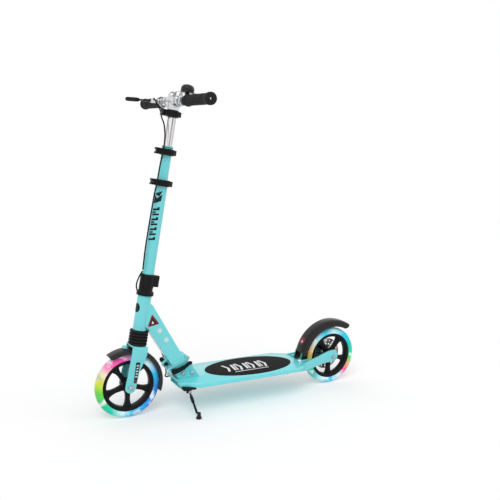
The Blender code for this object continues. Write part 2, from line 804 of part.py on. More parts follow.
def make_hinge_pin():
    face = FLANGE_HALF_WIDTH + FIT_GAP
    head = face + 0.0015
    half = [(0, head), (0.0048, head), (0.0048, face), (HINGE_PIN_RADIUS, face)]
    profile = half + [(radius, -height) for radius, height in reversed(half)]
    place("hinge_pin", turned(profile, 16, closed=False), "steel", at=HINGE, turn=ALONG_Y)


def make_fold_lever(carrier):
    """The cam barrel between the bracket's lugs, and the curved handle on the near side."""
    barrel = rod(0.0070, 2 * (0.0140 - RUN_GAP), sides=20)
    lever = place("fold_lever", barrel, "black_plastic", at=LATCH_ROOT, turn=ALONG_Y, carrier=carrier)
    join(lever, rod(LEVER_PIN_RADIUS, 0.056, (0, 0, 0.008), sides=16), at=LATCH_ROOT, turn=ALONG_Y)
    root = (LATCH_ROOT[0], LATCH_ROOT[2])
    outline = arc(root, 0.0085, 110, 290, 8)
    outline += [(-0.2150, 0.1300), (-0.2000, 0.1370), (-0.1850, 0.1480)]
    outline += arc((-0.1800, 0.1545), 0.0052, -50, 120, 5) + [(-0.2000, 0.1480), (-0.2200, 0.1420)]
    join(lever, side_plate(outline, LEVER_PLATE, LEVER_PLATE_Y))


def make_kickstand_bracket():
    """A block under the deck's near corner with a slot for the leg."""
    top = DECK_TOP - DECK_THICKNESS - FIT_GAP
    pad = box((0.042, 0.022, 0.007), (-0.1985, -0.0665, top - 0.0035))
    bracket = place("kickstand_bracket", pad, "black_plastic")
    cheek = box((0.016, 0.0045, 0.019), (KICK_PIVOT[0], KICK_PIVOT[1] + 0.00585, top - 0.0110))
    join(bracket, cheek)


def make_kickstand(carrier):
    """A tapered leg on a transverse pivot, with a rubber foot on the ground."""
    start = Vector(KICK_PIVOT)
    end = Vector(KICK_FOOT)
    direction = (end - start).normalized()
    barrel = rod(0.0058, 0.0064, sides=16)
    leg = place("kickstand_leg", barrel, "black_plastic", at=start, turn=ALONG_Y, carrier=carrier)
    spin = direction.to_track_quat("Z", "Y").to_matrix().to_4x4()
    shank_start = 0.002
    shank_end = (end - start).length - 0.016
    shank = rod(0.0031, shank_end - shank_start, (0, 0, (shank_start + shank_end) / 2), 12, 0.0038)
    shank.transform(Matrix.Translation(start) @ spin)
    sleeve = rod(0.0050, 0.022, (0, 0, 0.024), 12)
    sleeve.transform(Matrix.Translation(start) @ spin)
    join(leg, shank, sleeve)
    foot_outline = [(0.0085, 0.0), (0.0085, 0.003), (0.0056, 0.0100), (0.0056, 0.0190), (0, 0.0190)]
    foot_profile = [(0, 0.0)] + foot_outline
    shoe = turned(foot_profile, 16, closed=False)
    foot = place("kickstand_foot", shoe, "black_rubber", at=end, carrier=carrier)
    hole = rod(0.0042, 0.05, (0, 0, shank_end + 0.025 - 0.0100), 12)
    hole.transform(Matrix.Translation(start) @ spin)
    cut(foot, hole)


# Neck and steering column -------------------------------------------------------------------------


def make_neck(carrier):
    """A box strut from the head tube to the upper flange plate, open at the head tube."""
    front_low = FLANGE @ Vector((FLANGE_FRONT + 0.0010, 0, FIT_GAP / 2 + 0.003))
    rear_low = FLANGE @ Vector((FLANGE_REAR - 0.0010, 0, FIT_GAP / 2 + 0.003))
    outline = [
        (front_low.x, front_low.z),
        (rear_low.x, rear_low.z),
        (-0.3000, 0.3435),
        (-0.3230, 0.3670),
        (-0.3330, 0.2900),
        (-0.3150, 0.2740),
    ]
    neck = place("neck", side_plate(outline, 2 * NECK_HALF_WIDTH), "turquoise", carrier=carrier)
    hollow = [
        (-0.2445, 0.1750),
        (-0.2130, 0.1870),
        (-0.3080, 0.3420),
        (-0.3600, 0.3420),
        (-0.3600, 0.2860),
        (-0.3130, 0.2880),
    ]
    cut(neck, side_plate(hollow, 2 * (NECK_HALF_WIDTH - NECK_WALL)))
    join(neck, flange_at(flange_plate(1, FLANGE_FRONT)))
    join(neck, *[flange_at(mesh) for mesh in knuckle_parts(1, 0.0, 2 * KNUCKLE_HALF)])
    lug = box((0.034, 0.022, 0.006), (0.0090, 0, 0.0360))
    join(neck, lug, frame=LATCH)
    cut(neck, rod(BOLT_RADIUS + FIT_GAP, 0.03, sides=16), frame=LATCH, at=(0, 0, 0.036))
    cut(neck, rod(0.0050, 0.070, sides=16), frame=LATCH, at=(0, 0, -0.0025))
    pin = rod(HINGE_PIN_RADIUS + FIT_GAP, 0.09, sides=16)
    cut(neck, pin, at=HINGE, turn=ALONG_Y)
    cut(neck, rod(HEAD_RADIUS + FIT_GAP, 0.20, sides=40), frame=STEER, at=(0, 0, 0.2240))


def make_head_tube(carrier):
    tube = pipe(HEAD_RADIUS, HEAD_RADIUS - HEAD_WALL, HEAD_BOTTOM, HEAD_TOP, 24)
    place("head_tube", tube, "turquoise", frame=STEER, carrier=carrier)
    height = 0.008
    bottoms = {"headset_lower": HEAD_BOTTOM + 0.001, "headset_upper": HEAD_TOP - 0.001 - height}
    for name, bottom in bottoms.items():
        ring = pipe(HEAD_RADIUS - HEAD_WALL - FIT_GAP, STEERER_RADIUS + FIT_GAP, bottom, bottom + height, 24)
        place(name, ring, "steel", frame=STEER, carrier=carrier)


def make_latch_bolt(carrier):
    """The draw bolt: cap nut over the neck's lug, sleeve below it, and a tip in the bracket's slot."""
    profile = [
        (0, 0.0500),
        (0.0040, 0.0493),
        (0.0064, 0.0465),
        (0.0064, 0.0393),
        (BOLT_RADIUS, 0.0393),
        (BOLT_RADIUS, 0.0327),
        (0.0058, 0.0327),
        (0.0058, 0.0190),
        (BOLT_RADIUS, 0.0190),
        (BOLT_RADIUS, 0.0082),
        (0, 0.0082),
    ]
    place("latch_bolt", turned(profile, 16, closed=False), "black_plastic", frame=LATCH, carrier=carrier)


def make_column(carrier):
    """The lower tube, the steerer inside the head tube, and the plastic collar over their joint."""
    start = HEAD_TOP + RUN_GAP + 0.0012
    tube = pipe(COLUMN_RADIUS, COLUMN_RADIUS - COLUMN_WALL, start, MID_CLAMP_HEIGHT + CLAMP_HALF_HEIGHT, 24)
    place("column_tube", tube, "turquoise", frame=STEER, carrier=carrier)
    steerer = pipe(STEERER_RADIUS, STEERER_RADIUS - STEERER_WALL, STEERER_BOTTOM, STEERER_TOP, 28)
    steerer = place("steerer", steerer, "steel", frame=STEER, carrier=carrier)
    plug = turned(
        [
            (COLUMN_RADIUS - COLUMN_WALL - FIT_GAP, STEERER_TOP),
            (COLUMN_RADIUS - COLUMN_WALL - FIT_GAP, STEERER_TOP - 0.030),
            (STEERER_RADIUS - 0.001, STEERER_TOP - 0.030),
            (STEERER_RADIUS - 0.001, STEERER_TOP),
        ],
        28,
    )
    join(steerer, plug, frame=STEER)
    seat = rod(STEERER_RADIUS - 0.001, 0.004, (0, 0, SPRING_TOP + 0.0023), 24)
    join(steerer, seat, frame=STEER)
    flange_bottom = HEAD_TOP + RUN_GAP
    flange_top = flange_bottom + COLLAR_FLANGE_HEIGHT
    bore = COLUMN_RADIUS + FIT_GAP
    profile = [
        (bore + 0.0018, COLLAR_TOP),
        (bore + 0.0030, COLLAR_TOP - 0.003),
        (bore + 0.0030, flange_top + 0.003),
        (COLLAR_FLANGE_RADIUS - 0.001, flange_top),
        (COLLAR_FLANGE_RADIUS, flange_top - 0.001),
        (COLLAR_FLANGE_RADIUS, flange_bottom),
        (bore, flange_bottom),
        (bore, COLLAR_TOP),
    ]
    collar = place("lock_collar", turned(profile, 24), "black_plastic", frame=STEER, carrier=carrier)
    block = box((0.016, 0.018, 0.034), (bore + 0.0090, 0, COLLAR_TOP - 0.020))
    join(collar, block, frame=STEER)


def clamp_ring(name, height, tube_radius, carrier):
    """A split clamp ring with two ears forward and two prongs at their ends."""
    bore = tube_radius + FIT_GAP
    outer = bore + CLAMP_WALL
    ring = pipe(outer, bore, height - CLAMP_HALF_HEIGHT, height + CLAMP_HALF_HEIGHT, 24)
    clamp = place(name, ring, "black_plastic", frame=STEER, carrier=carrier)
    ear_start = bore + 0.0010
    ear_length = EAR_REACH - ear_start
    ear_size = (ear_length, 0.0170, 2 * CLAMP_HALF_HEIGHT - 0.001)
    ears = box(ear_size, (-(ear_start + ear_length / 2), 0, height))
    join(clamp, ears, frame=STEER)
    cut(clamp, box((EAR_REACH, 0.0025, 0.05), (-EAR_REACH / 2 - 0.006, 0, height)), frame=STEER)
    cut(clamp, box((0.006, 0.05, 0.0070), (-EAR_REACH, 0, height)), frame=STEER)
    cut(clamp, rod(0.0028, 0.06, sides=16), frame=STEER, at=(-(bore + 0.0095), 0, height), turn=ALONG_Y)
    return bore


def clamp_bolt(name, height, tube_radius, carrier):
    """The bolt through the ears: a nut on the far side, and a short end that the cam pulls."""
    profile = [
        (0, -0.0150),
        (0.0050, -0.0150),
        (0.0050, -0.0090),
        (0.0025, -0.0090),
        (0.0025, 0.0100),
        (0, 0.0100),
    ]
    bolt_x = -(tube_radius + FIT_GAP + 0.0095)
    bolt = turned([(radius, -z) for radius, z in profile][::-1], 14, closed=False)
    bolt.transform(Matrix.Rotation(-pi / 2, 4, "X"))
    place(name, bolt, "steel", frame=STEER, at=(bolt_x, 0, height), carrier=carrier)


def clamp_lever(name, height, tube_radius, carrier):
    """The quick-release lever: a cam on the near side whose handle wraps back round the ring."""
    bolt_x = -(tube_radius + FIT_GAP + 0.0095)
    ring = tube_radius + FIT_GAP + CLAMP_WALL + RUN_GAP
    pivot = (bolt_x, -0.0165)
    thickness = 0.0048
    outline = arc(pivot, 0.0056, 60, 215, 6)
    outline += arc((0, 0), ring + thickness, 232, 318, 9)
    outline += [(ring * 0.96 + 0.004, -ring * 0.52 - 0.004)]
    outline += arc((0, 0), ring, 318, 244, 8)
    lever = flat(outline, 2 * CLAMP_HALF_HEIGHT - 0.003)
    place(name, lever, "black_plastic", frame=STEER, at=(0, 0, height), carrier=carrier)


def make_fork(carrier):
    """The crown plate, its two tapered legs and the stem that slides in the steerer."""
    crown_bottom = CROWN_TOP - CROWN_THICKNESS
    outer = FORK_LEG_INNER + FORK_LEG_THICKNESS
    axle = STEER.inverted() @ FRONT_AXLE
    crown_size = (0.046, 2 * outer, CROWN_THICKNESS)
    crown = box(crown_size, (0.0010, 0, CROWN_TOP - CROWN_THICKNESS / 2))
    fork = place("fork", crown, "turquoise", frame=STEER, carrier=carrier)
    leg = arc((axle.x, axle.z), 0.0165, 190, 350, 9)
    leg += [(0.0085, 0.048), (0.0240, 0.100), (0.0245, CROWN_TOP - 0.0005)]
    leg += [(-0.0225, CROWN_TOP - 0.0005), (-0.0240, 0.060)]
    for side in (-1, 1):
        join(fork, side_plate(leg, FORK_LEG_THICKNESS, side * (outer - FORK_LEG_THICKNESS / 2)), frame=STEER)
    stem_bottom = crown_bottom + 0.001
    middle = (0, 0, (STEM_TOP + stem_bottom) / 2)
    stem = rod(STEERER_RADIUS - STEERER_WALL - FIT_GAP, STEM_TOP - stem_bottom, middle, 24)
    join(fork, stem, frame=STEER)
    cut(fork, rod(AXLE_RADIUS + FIT_GAP, 0.09), at=FRONT_AXLE, turn=ALONG_Y)


def make_fork_spring(carrier):
    turns = 5
    steps = 9
    wire_radius = 0.0012
    radius = 0.0082
    low = STEM_TOP + wire_radius + FIT_GAP
    high = SPRING_TOP - wire_radius - FIT_GAP
    points = [
        (
            radius * cos(2 * pi * index / steps),
            radius * sin(2 * pi * index / steps),
            low + (high - low) * index / (turns * steps),
        )
        for index in range(turns * steps + 1)
    ]
    curve = bpy.data.curves.new("spring", "CURVE")
    curve.dimensions = "3D"
    curve.bevel_depth = wire_radius
    curve.bevel_resolution = 1
    curve.use_fill_caps = True
    spline = curve.splines.new("POLY")
    spline.points.add(len(points) - 1)
    for target, point in zip(spline.points, points):
        target.co = (*point, 1)
    helper = bpy.data.objects.new("spring", curve)
    bpy.context.scene.collection.objects.link(helper)
    place("fork_spring", taken(helper), "spring_steel", frame=STEER, carrier=carrier)


def make_bellows(carrier):
    """A ribbed rubber boot between the crown and the head tube."""
    bottom = CROWN_TOP + FIT_GAP
    top = HEAD_BOTTOM - FIT_GAP
    pitch = (top - bottom) / BELLOWS_RIBS
    outer = []
    for index in range(BELLOWS_RIBS):
        low = bottom + index * pitch
        outer.append((BELLOWS_RADIUS - 0.0040, low))
        outer.append((BELLOWS_RADIUS, low + pitch * 0.3))
        outer.append((BELLOWS_RADIUS, low + pitch * 0.7))
    outer.append((BELLOWS_RADIUS - 0.0040, top))
    inner = [(BELLOWS_RADIUS - 0.0085, top), (BELLOWS_RADIUS - 0.0085, bottom)]
    place("bellows", turned(outer + inner, 20), "black_rubber", frame=STEER, carrier=carrier)


def make_front_mudguard(carrier):
    """A long channel under the crown, lower over the tyre towards its tail."""
    shell = guard_shell(lambda t: 0.1078 + 0.0072 * min(1, t * 1.6), -15, 122, 24, 0.0230, 0.0130)
    place("front_mudguard", shell, "black_plastic", at=FRONT_AXLE, carrier=carrier)


# Handlebar ------------------------------------------------------------------------------------------


def make_tubes(upper_carrier, handle_carrier):
    upper = pipe(UPPER_RADIUS, UPPER_RADIUS - UPPER_WALL, UPPER_TUBE_BOTTOM, UPPER_TUBE_TOP, 24)
    upper = place("upper_tube", upper, "turquoise", frame=STEER, carrier=upper_carrier)
    low, high = UPPER_TUBE_TOP - 0.0060, UPPER_TUBE_TOP - 0.0005
    rim = pipe(UPPER_RADIUS + 0.0012, UPPER_RADIUS - 0.001, low, high, 24)
    join(upper, rim, frame=STEER)
    inner_top = BAR_HEIGHT - T_BARREL_RADIUS - 0.001
    inner = pipe(INNER_RADIUS, INNER_RADIUS - INNER_WALL, INNER_TUBE_BOTTOM, inner_top, 24)
    place("inner_tube", inner, "chrome", frame=STEER, carrier=handle_carrier)


def make_t_head(carrier):
    """A cast head: a socket on the tube, a cross barrel, two latch domes and a clevis at each end."""
    barrel = rod(T_BARREL_RADIUS, 2 * T_BARREL_HALF, sides=20)
    at = (0, 0, BAR_HEIGHT)
    head = place("t_head", barrel, "chrome", frame=STEER, at=at, turn=ALONG_Y, carrier=carrier)
    socket_bottom = STEM_CLAMP_HEIGHT + CLAMP_HALF_HEIGHT + 0.0010
    socket = pipe(INNER_RADIUS + 0.0045, INNER_RADIUS + FIT_GAP, socket_bottom, BAR_HEIGHT - 0.004, 28)
    join(head, socket, frame=STEER)
    bore = rod(INNER_RADIUS + FIT_GAP, 0.030, (0, 0, BAR_HEIGHT - T_BARREL_RADIUS - 0.0158), 24)
    cut(head, bore, frame=STEER)
    for y in (-0.0215, 0.0215):
        half = [(0, 0.0300), (0.0070, 0.0285), (0.0120, 0.0240), (0.0135, 0.0170)]
        dome = turned([*half, (0.0135, 0.0050), (0, 0.0050)], 14, closed=False)
        join(head, dome, frame=STEER, at=(0, y, BAR_HEIGHT))
    for side in (-1, 1):
        for fore in (-1, 1):
            cheek = arc((side * BAR_PIVOT_Y, 0), CHEEK_RADIUS, -90, 90, 5)
            if side < 0:
                cheek = arc((side * BAR_PIVOT_Y, 0), CHEEK_RADIUS, 90, 270, 5)
            root = side * (T_BARREL_HALF - 0.004)
            cheek += [(root, side * CHEEK_RADIUS), (root, -side * CHEEK_RADIUS)]
            plate = flat(cheek, 0.0070)
            plate.transform(
                Matrix.Translation((fore * 0.0085, 0, BAR_HEIGHT))
                @ Matrix.Rotation(pi / 2, 4, "Z")
                @ Matrix.Rotation(pi / 2, 4, "X")
            )
            join(head, plate, frame=STEER)
        pivot = rod(0.0028, 0.05, sides=16)
        cut(head, pivot, frame=STEER, at=(0, side * BAR_PIVOT_Y, BAR_HEIGHT), turn=(0, pi / 2, 0))


def make_bar(side_name, side, carrier):
    """A handlebar tube with a tongue and pivot pin between the clevis cheeks, and its grip."""
    length = BAR_HALF_LENGTH - BAR_TUBE_START
    centre = side * (BAR_TUBE_START + length / 2)
    tube = rod(BAR_RADIUS, length, sides=24)
    at = (0, centre, BAR_HEIGHT)
    name = side_name + "_bar"
    bar = place(name, tube, "chrome", frame=STEER, at=at, turn=ALONG_Y, carrier=carrier)
    tongue_length = BAR_TUBE_START + 0.004 - BAR_PIVOT_Y
    tongue = box((0.0080, tongue_length, 0.0180), (0, side * (BAR_PIVOT_Y + tongue_length / 2), BAR_HEIGHT))
    eye = rod(0.0090, 0.0080, sides=20)
    eye.transform(Matrix.Translation((0, side * BAR_PIVOT_Y, BAR_HEIGHT)) @ Matrix.Rotation(pi / 2, 4, "Y"))
    pin = rod(0.0025, 0.0250, sides=16)
    pin.transform(Matrix.Translation((0, side * BAR_PIVOT_Y, BAR_HEIGHT)) @ Matrix.Rotation(pi / 2, 4, "Y"))
    join(bar, tongue, eye, pin, frame=STEER)
    profile = [
        (GRIP_RADIUS + 0.0020, GRIP_START),
        (GRIP_RADIUS + 0.0020, GRIP_START + 0.003),
        (GRIP_RADIUS, GRIP_START + 0.007),
        (GRIP_RADIUS - 0.0003, HALF_SPAN - 0.020),
        (GRIP_RADIUS + 0.0018, HALF_SPAN - 0.009),
        (GRIP_RADIUS + 0.0018, HALF_SPAN - 0.002),
        (GRIP_RADIUS, HALF_SPAN),
        (0.0035, HALF_SPAN),
        (0.0035, BAR_HALF_LENGTH + FIT_GAP),
        (BAR_RADIUS + FIT_GAP, BAR_HALF_LENGTH + FIT_GAP),
        (BAR_RADIUS + FIT_GAP, GRIP_START),
    ]
    grip = turned(profile, 24)
    grip.transform(Matrix.Rotation(-side * pi / 2, 4, "X"))
    place(side_name + "_grip", grip, "black_rubber", frame=STEER, at=(0, 0, BAR_HEIGHT), carrier=carrier)


def make_bell(carrier, striker_carrier):
    """A domed bell on a ring round the near bar, and its thumb striker."""
    profile = [
        (0, BELL_TOP),
        (BELL_RADIUS * 0.55, BELL_TOP - 0.0008),
        (BELL_RADIUS * 0.90, BELL_TOP - 0.0050),
        (BELL_RADIUS, BELL_TOP - 0.0120),
        (BELL_RADIUS, BELL_BASE),
        (0, BELL_BASE),
    ]
    at = (BELL_X, BELL_Y, BAR_HEIGHT)
    dome = turned(profile, 24, closed=False)
    bell = place("bell", dome, "black_plastic", frame=STEER, at=at, carrier=carrier)
    ring = pipe(BAR_RADIUS + 0.0035, BAR_RADIUS + FIT_GAP, -0.0055, 0.0055, 24)
    ring.transform(Matrix.Translation((0, BELL_Y, BAR_HEIGHT)) @ Matrix.Rotation(pi / 2, 4, "X"))
    neck_size = (0.010, 0.010, BELL_BASE - BAR_RADIUS)
    neck = box(neck_size, (0, BELL_Y, BAR_HEIGHT + (BELL_BASE + BAR_RADIUS) / 2 + 0.0010))
    join(bell, ring, neck, frame=STEER)
    outline = arc((0.0120, 0), 0.0035, 200, 340, 5)
    outline += [(0.0150, 0.0150), (0.0080, 0.0280), (0.0020, 0.0280), (0.0090, 0.0130)]
    striker = flat([(x, -y) for x, y in outline][::-1], 0.0030)
    at = (BELL_X + 0.0050, BELL_Y - 0.0060, BAR_HEIGHT + BELL_BASE - 0.0021)
    place("bell_striker", striker, "black_plastic", frame=STEER, at=at, carrier=striker_carrier)


def make_brake(carrier, lever_carrier):
    """The lever's perch on the far bar, and the lever blade with its rubber sleeve end."""
    ring = pipe(BAR_RADIUS + 0.0045, BAR_RADIUS + FIT_GAP, -0.0075, 0.0075, 24)
    ring.transform(Matrix.Rotation(pi / 2, 4, "X"))
    perch = place("brake_perch", ring, "chrome", frame=STEER, at=(0, PERCH_Y, BAR_HEIGHT), carrier=carrier)
    outline = [
        (-0.0120, 0.0780),
        (-0.0120, 0.0880),
        (-0.0195, 0.0955),
        (-0.0225, 0.1060),
        (-0.0330, 0.1110),
        (-0.0370, 0.1020),
        (-0.0330, 0.0800),
        (-0.0240, 0.0740),
    ]
    body = flat(outline, 0.0130)
    join(perch, body, frame=STEER, at=(0, 0, BAR_HEIGHT))
    slot = (LEVER_PIVOT[0] - 0.002, LEVER_PIVOT[1] + 0.0085, BAR_HEIGHT)
    cut(perch, box((0.022, 0.030, 0.0052), slot), frame=STEER)
    blade = arc(LEVER_PIVOT, 0.0045, 150, 330, 7) + [(-0.0440, 0.1500), (-0.0700, 0.2040)]
    blade += arc((-0.0745, 0.2100), 0.0052, 0, 180, 6) + [(-0.0790, 0.2030), (-0.0540, 0.1520)]
    blank = flat(blade, 0.0044)
    at = (0, 0, BAR_HEIGHT)
    lever = place("brake_lever", blank, "black_plastic", frame=STEER, at=at, carrier=lever_carrier)
    sleeve_from = Vector((-0.0535, 0.1620, 0))
    sleeve_to = Vector((-0.0750, 0.2100, 0))
    along = (sleeve_to - sleeve_from).to_track_quat("Z", "Y").to_matrix().to_4x4()
    sleeve = rod(0.0058, (sleeve_to - sleeve_from).length, (0, 0, 0), 14, 0.0062)
    sleeve.transform(Matrix.Translation((sleeve_from + sleeve_to) / 2 + Vector((0, 0, BAR_HEIGHT))) @ along)
    join(lever, sleeve, frame=STEER)


# Brake cable -----------------------------------------------------------------------------------


def make_cables(handle_carrier, column_carrier, neck_carrier):
    def in_steer(points):
        return [STEER @ Vector(point) for point in points]

    place("cable_handlebar", wire(in_steer(CABLE_BAR), CABLE_RADIUS), "black_rubber", carrier=handle_carrier)
    place("cable_column", wire(in_steer(CABLE_COLUMN), CABLE_RADIUS), "black_rubber", carrier=column_carrier)
    neck_points = in_steer(CABLE_NECK_TOP) + CABLE_NECK_LOW
    place("cable_neck", wire(neck_points, CABLE_RADIUS), "black_rubber", carrier=neck_carrier)
    place("cable_deck", wire(CABLE_DECK, CABLE_RADIUS), "black_rubber")


def steer_point(x, y, height):
    return STEER @ Vector((x, y, height))


def main():
    clear_scene()
    tilt = (0, RAKE, 0)
    fold = joint_empty("fold_axis", HINGE)
    steer = joint_empty("steer_axis", steer_point(0, 0, 0), tilt, fold)
    suspension = joint_empty("suspension_axis", steer_point(0, 0, CROWN_TOP), tilt, steer)
    front_wheel = joint_empty("front_wheel_axis", FRONT_AXLE, parent=suspension)
    upper = joint_empty("upper_tube_axis", steer_point(0, 0, TOP_CLAMP_HEIGHT), tilt, steer)
    handle = joint_empty("handlebar_axis", steer_point(0, 0, BAR_HEIGHT), tilt, upper)
    left = joint_empty("left_bar_axis", steer_point(0, -BAR_PIVOT_Y, BAR_HEIGHT), tilt, handle)
    right = joint_empty("right_bar_axis", steer_point(0, BAR_PIVOT_Y, BAR_HEIGHT), tilt, handle)
    at = steer_point(BELL_X + 0.0170, BELL_Y - 0.0060, BAR_HEIGHT)
    striker = joint_empty("striker_axis", at, tilt, left)
    brake = joint_empty("brake_lever_axis", steer_point(*LEVER_PIVOT, BAR_HEIGHT), tilt, right)
    rear_wheel = joint_empty("rear_wheel_axis", REAR_AXLE)
    foot_brake = joint_empty("foot_brake_axis", MUDGUARD_PIN)
    fold_lever = joint_empty("fold_lever_axis", LATCH_ROOT)
    kickstand = joint_empty("kickstand_axis", KICK_PIVOT)
    caliper_arm = joint_empty("caliper_arm_axis", CALIPER_PIVOT)

    make_deck()
    make_grip_tape()
    make_rear_fork()
    make_mudguard_pin()
    make_caliper()
    make_caliper_arm(caliper_arm)
    make_hinge_bracket()
    make_bracket_bolts()
    make_hinge_pin()
    make_kickstand_bracket()
    make_kickstand(kickstand)
    make_fold_lever(fold_lever)
    make_rear_mudguard(foot_brake)
    rim = rim_mesh()
    tyre = tyre_mesh()
    make_wheel("rear", REAR_AXLE, rear_wheel, tyre, rim)
    make_brake_disc(rear_wheel)
    place("rear_axle", axle_mesh(0.0320), "steel", at=REAR_AXLE, turn=ALONG_Y)
    make_wheel("front", FRONT_AXLE, front_wheel, tyre, rim)
    front_face = FORK_LEG_INNER + FORK_LEG_THICKNESS
    place("front_axle", axle_mesh(front_face), "steel", at=FRONT_AXLE, turn=ALONG_Y, carrier=suspension)

    make_neck(fold)
    make_head_tube(fold)
    make_latch_bolt(fold)
    make_column(steer)
    make_fork(suspension)
    make_fork_spring(suspension)
    make_bellows(suspension)
    make_front_mudguard(suspension)
    make_tubes(upper, handle)
    clamps = (
        ("mid_clamp", MID_CLAMP_HEIGHT, COLUMN_RADIUS, steer),
        ("top_clamp", TOP_CLAMP_HEIGHT, UPPER_RADIUS, upper),
        ("stem_clamp", STEM_CLAMP_HEIGHT, INNER_RADIUS, handle),
    )
    for name, height, tube_radius, carrier in clamps:
        clamp_ring(name, height, tube_radius, carrier)
        clamp_bolt(name + "_bolt", height, tube_radius, carrier)
        pivot = steer_point(-(tube_radius + FIT_GAP + 0.0095), -0.0165, height)
        lever_axis = joint_empty(name + "_lever_axis", pivot, tilt, carrier)
        clamp_lever(name + "_lever", height, tube_radius, lever_axis)
    make_t_head(handle)
    make_bar("left", -1, left)
    make_bar("right", 1, right)
    make_bell(left, striker)
    make_brake(right, brake)
    make_cables(handle, steer, fold)
    bpy.context.view_layer.update()


main()
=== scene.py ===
"""Kick scooter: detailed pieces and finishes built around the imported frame.

Metres, +Z up. The front wheel is at -X and the rider's left side at -Y.
"""

import json
import logging
import math
from dataclasses import dataclass, field
from enum import Enum
from math import cos, pi, radians, sin
from typing import Any, Callable, Sequence

import bmesh
import bpy
from mathutils import Matrix, Vector

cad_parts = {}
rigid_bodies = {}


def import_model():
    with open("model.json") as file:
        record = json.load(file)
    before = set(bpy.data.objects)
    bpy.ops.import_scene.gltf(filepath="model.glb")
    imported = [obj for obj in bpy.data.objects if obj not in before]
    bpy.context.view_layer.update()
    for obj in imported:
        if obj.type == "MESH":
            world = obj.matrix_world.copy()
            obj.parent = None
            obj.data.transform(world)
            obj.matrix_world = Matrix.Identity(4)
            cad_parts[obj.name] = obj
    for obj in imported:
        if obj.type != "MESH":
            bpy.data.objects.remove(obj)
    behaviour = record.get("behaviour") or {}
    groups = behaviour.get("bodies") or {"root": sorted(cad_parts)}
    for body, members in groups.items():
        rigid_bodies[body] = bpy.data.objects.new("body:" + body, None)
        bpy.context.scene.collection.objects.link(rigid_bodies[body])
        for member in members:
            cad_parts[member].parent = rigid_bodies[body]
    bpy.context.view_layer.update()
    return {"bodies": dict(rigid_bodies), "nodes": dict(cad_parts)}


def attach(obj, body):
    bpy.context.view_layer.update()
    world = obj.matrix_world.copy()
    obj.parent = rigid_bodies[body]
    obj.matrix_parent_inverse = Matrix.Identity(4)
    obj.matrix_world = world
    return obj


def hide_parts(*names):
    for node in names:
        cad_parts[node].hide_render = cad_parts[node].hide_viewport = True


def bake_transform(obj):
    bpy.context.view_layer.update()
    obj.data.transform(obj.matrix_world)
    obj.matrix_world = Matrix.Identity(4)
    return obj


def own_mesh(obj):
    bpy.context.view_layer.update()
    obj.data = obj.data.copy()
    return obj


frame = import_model()

LOG = logging.getLogger("kick_scooter")
Point2 = tuple[float, float]
Point3 = tuple[float, float, float]
Colour = tuple[float, float, float]
Mesh = bpy.types.Mesh

RAKE = radians(8.5)
AXLE_HEIGHT = 0.1
STEER = Matrix.Translation((-0.3605, 0.0, AXLE_HEIGHT)) @ Matrix.Rotation(RAKE, 4, "Y")
ALONG_Y = Matrix.Rotation(pi / 2, 4, "X")
FRONT_AXLE = Vector((-0.372, 0, AXLE_HEIGHT))
REAR_AXLE = Vector((0.372, 0, AXLE_HEIGHT))
WELD = 1e-5
GAP = 0.0003
BAR_HEIGHT = 0.8554
FILM = 0.0004
FILM_STEP = Matrix.Translation((0, -0.0002, 0))
MIX_FIRST, MIX_SECOND, MIX_RESULT = 6, 7, 2


class Slot(Enum):
    """The record's material slots."""

    PAINT = "turquoise_paint"
    MOULDED = "moulded_plastic"
    BLACK_METAL = "black_metal"
    RUBBER = "black_rubber"
    CABLE = "cable_jacket"
    CHROME = "bright_chrome"
    STEEL = "zinc_steel"
    TAPE = "grip_tape"
    TYRE = "clear_tyre"


class Side(Enum):
    """The rider's two sides, as the sign of Y."""

    LEFT = -1
    RIGHT = 1


# Shader graph ----------------------------------------------


def operator(operation: str, reflected: bool = False) -> Callable[["Signal", Any], "Signal"]:
    """An arithmetic method for a signal.

    Args:
        operation: The Math node's operation.
        reflected: Whether the signal is the second operand.

    Returns:
        The method.
    """

    def apply(self: "Signal", other: Any) -> "Signal":
        """Combine the signal with a number or another signal."""
        first, second = (other, self) if reflected else (self, other)
        return self.maths(operation, first, second)

    return apply


class Signal:
    """A shader socket that takes part in arithmetic by adding Math nodes."""

    def __init__(self, graph: "Graph", socket: bpy.types.NodeSocket) -> None:
        """Wrap a socket.

        Args:
            graph: The graph that the socket belongs to.
            socket: An output socket that carries a number.
        """
        self.graph = graph
        self.socket = socket

    def maths(self, operation: str, first: Any, second: Any = None) -> "Signal":
        """Add one Math node.

        Args:
            operation: The node's operation.
            first: The first number or signal.
            second: The second number or signal, or None for one operand.

        Returns:
            The node's result.
        """
        values = {0: first} if second is None else {0: first, 1: second}
        made = self.graph.node("ShaderNodeMath", {"operation": operation}, values)
        return Signal(self.graph, made.outputs[0])

    __add__, __radd__ = operator("ADD"), operator("ADD", True)
    __sub__, __rsub__ = operator("SUBTRACT"), operator("SUBTRACT", True)
    __mul__, __rmul__ = operator("MULTIPLY"), operator("MULTIPLY", True)
    __truediv__ = operator("DIVIDE")

    def above(self, edge: float, width: float) -> "Signal":
        """A soft step: 0 below edge, 1 past edge + width."""
        settings = {"interpolation_type": "SMOOTHSTEP", "clamp": True}
        values = {"Value": self, "From Min": edge, "From Max": edge + width}
        made = self.graph.node("ShaderNodeMapRange", settings, values)
        return Signal(self.graph, made.outputs[0])

    def fraction(self) -> "Signal":
        """The part after the decimal point."""
        return self.maths("FRACT", self)

    def angle_to(self, other: "Signal") -> "Signal":
        """The angle of the point (other, self), in radians."""
        return self.maths("ARCTAN2", self, other)

    def root(self) -> "Signal":
        """Square root."""
        return self.maths("SQRT", self)


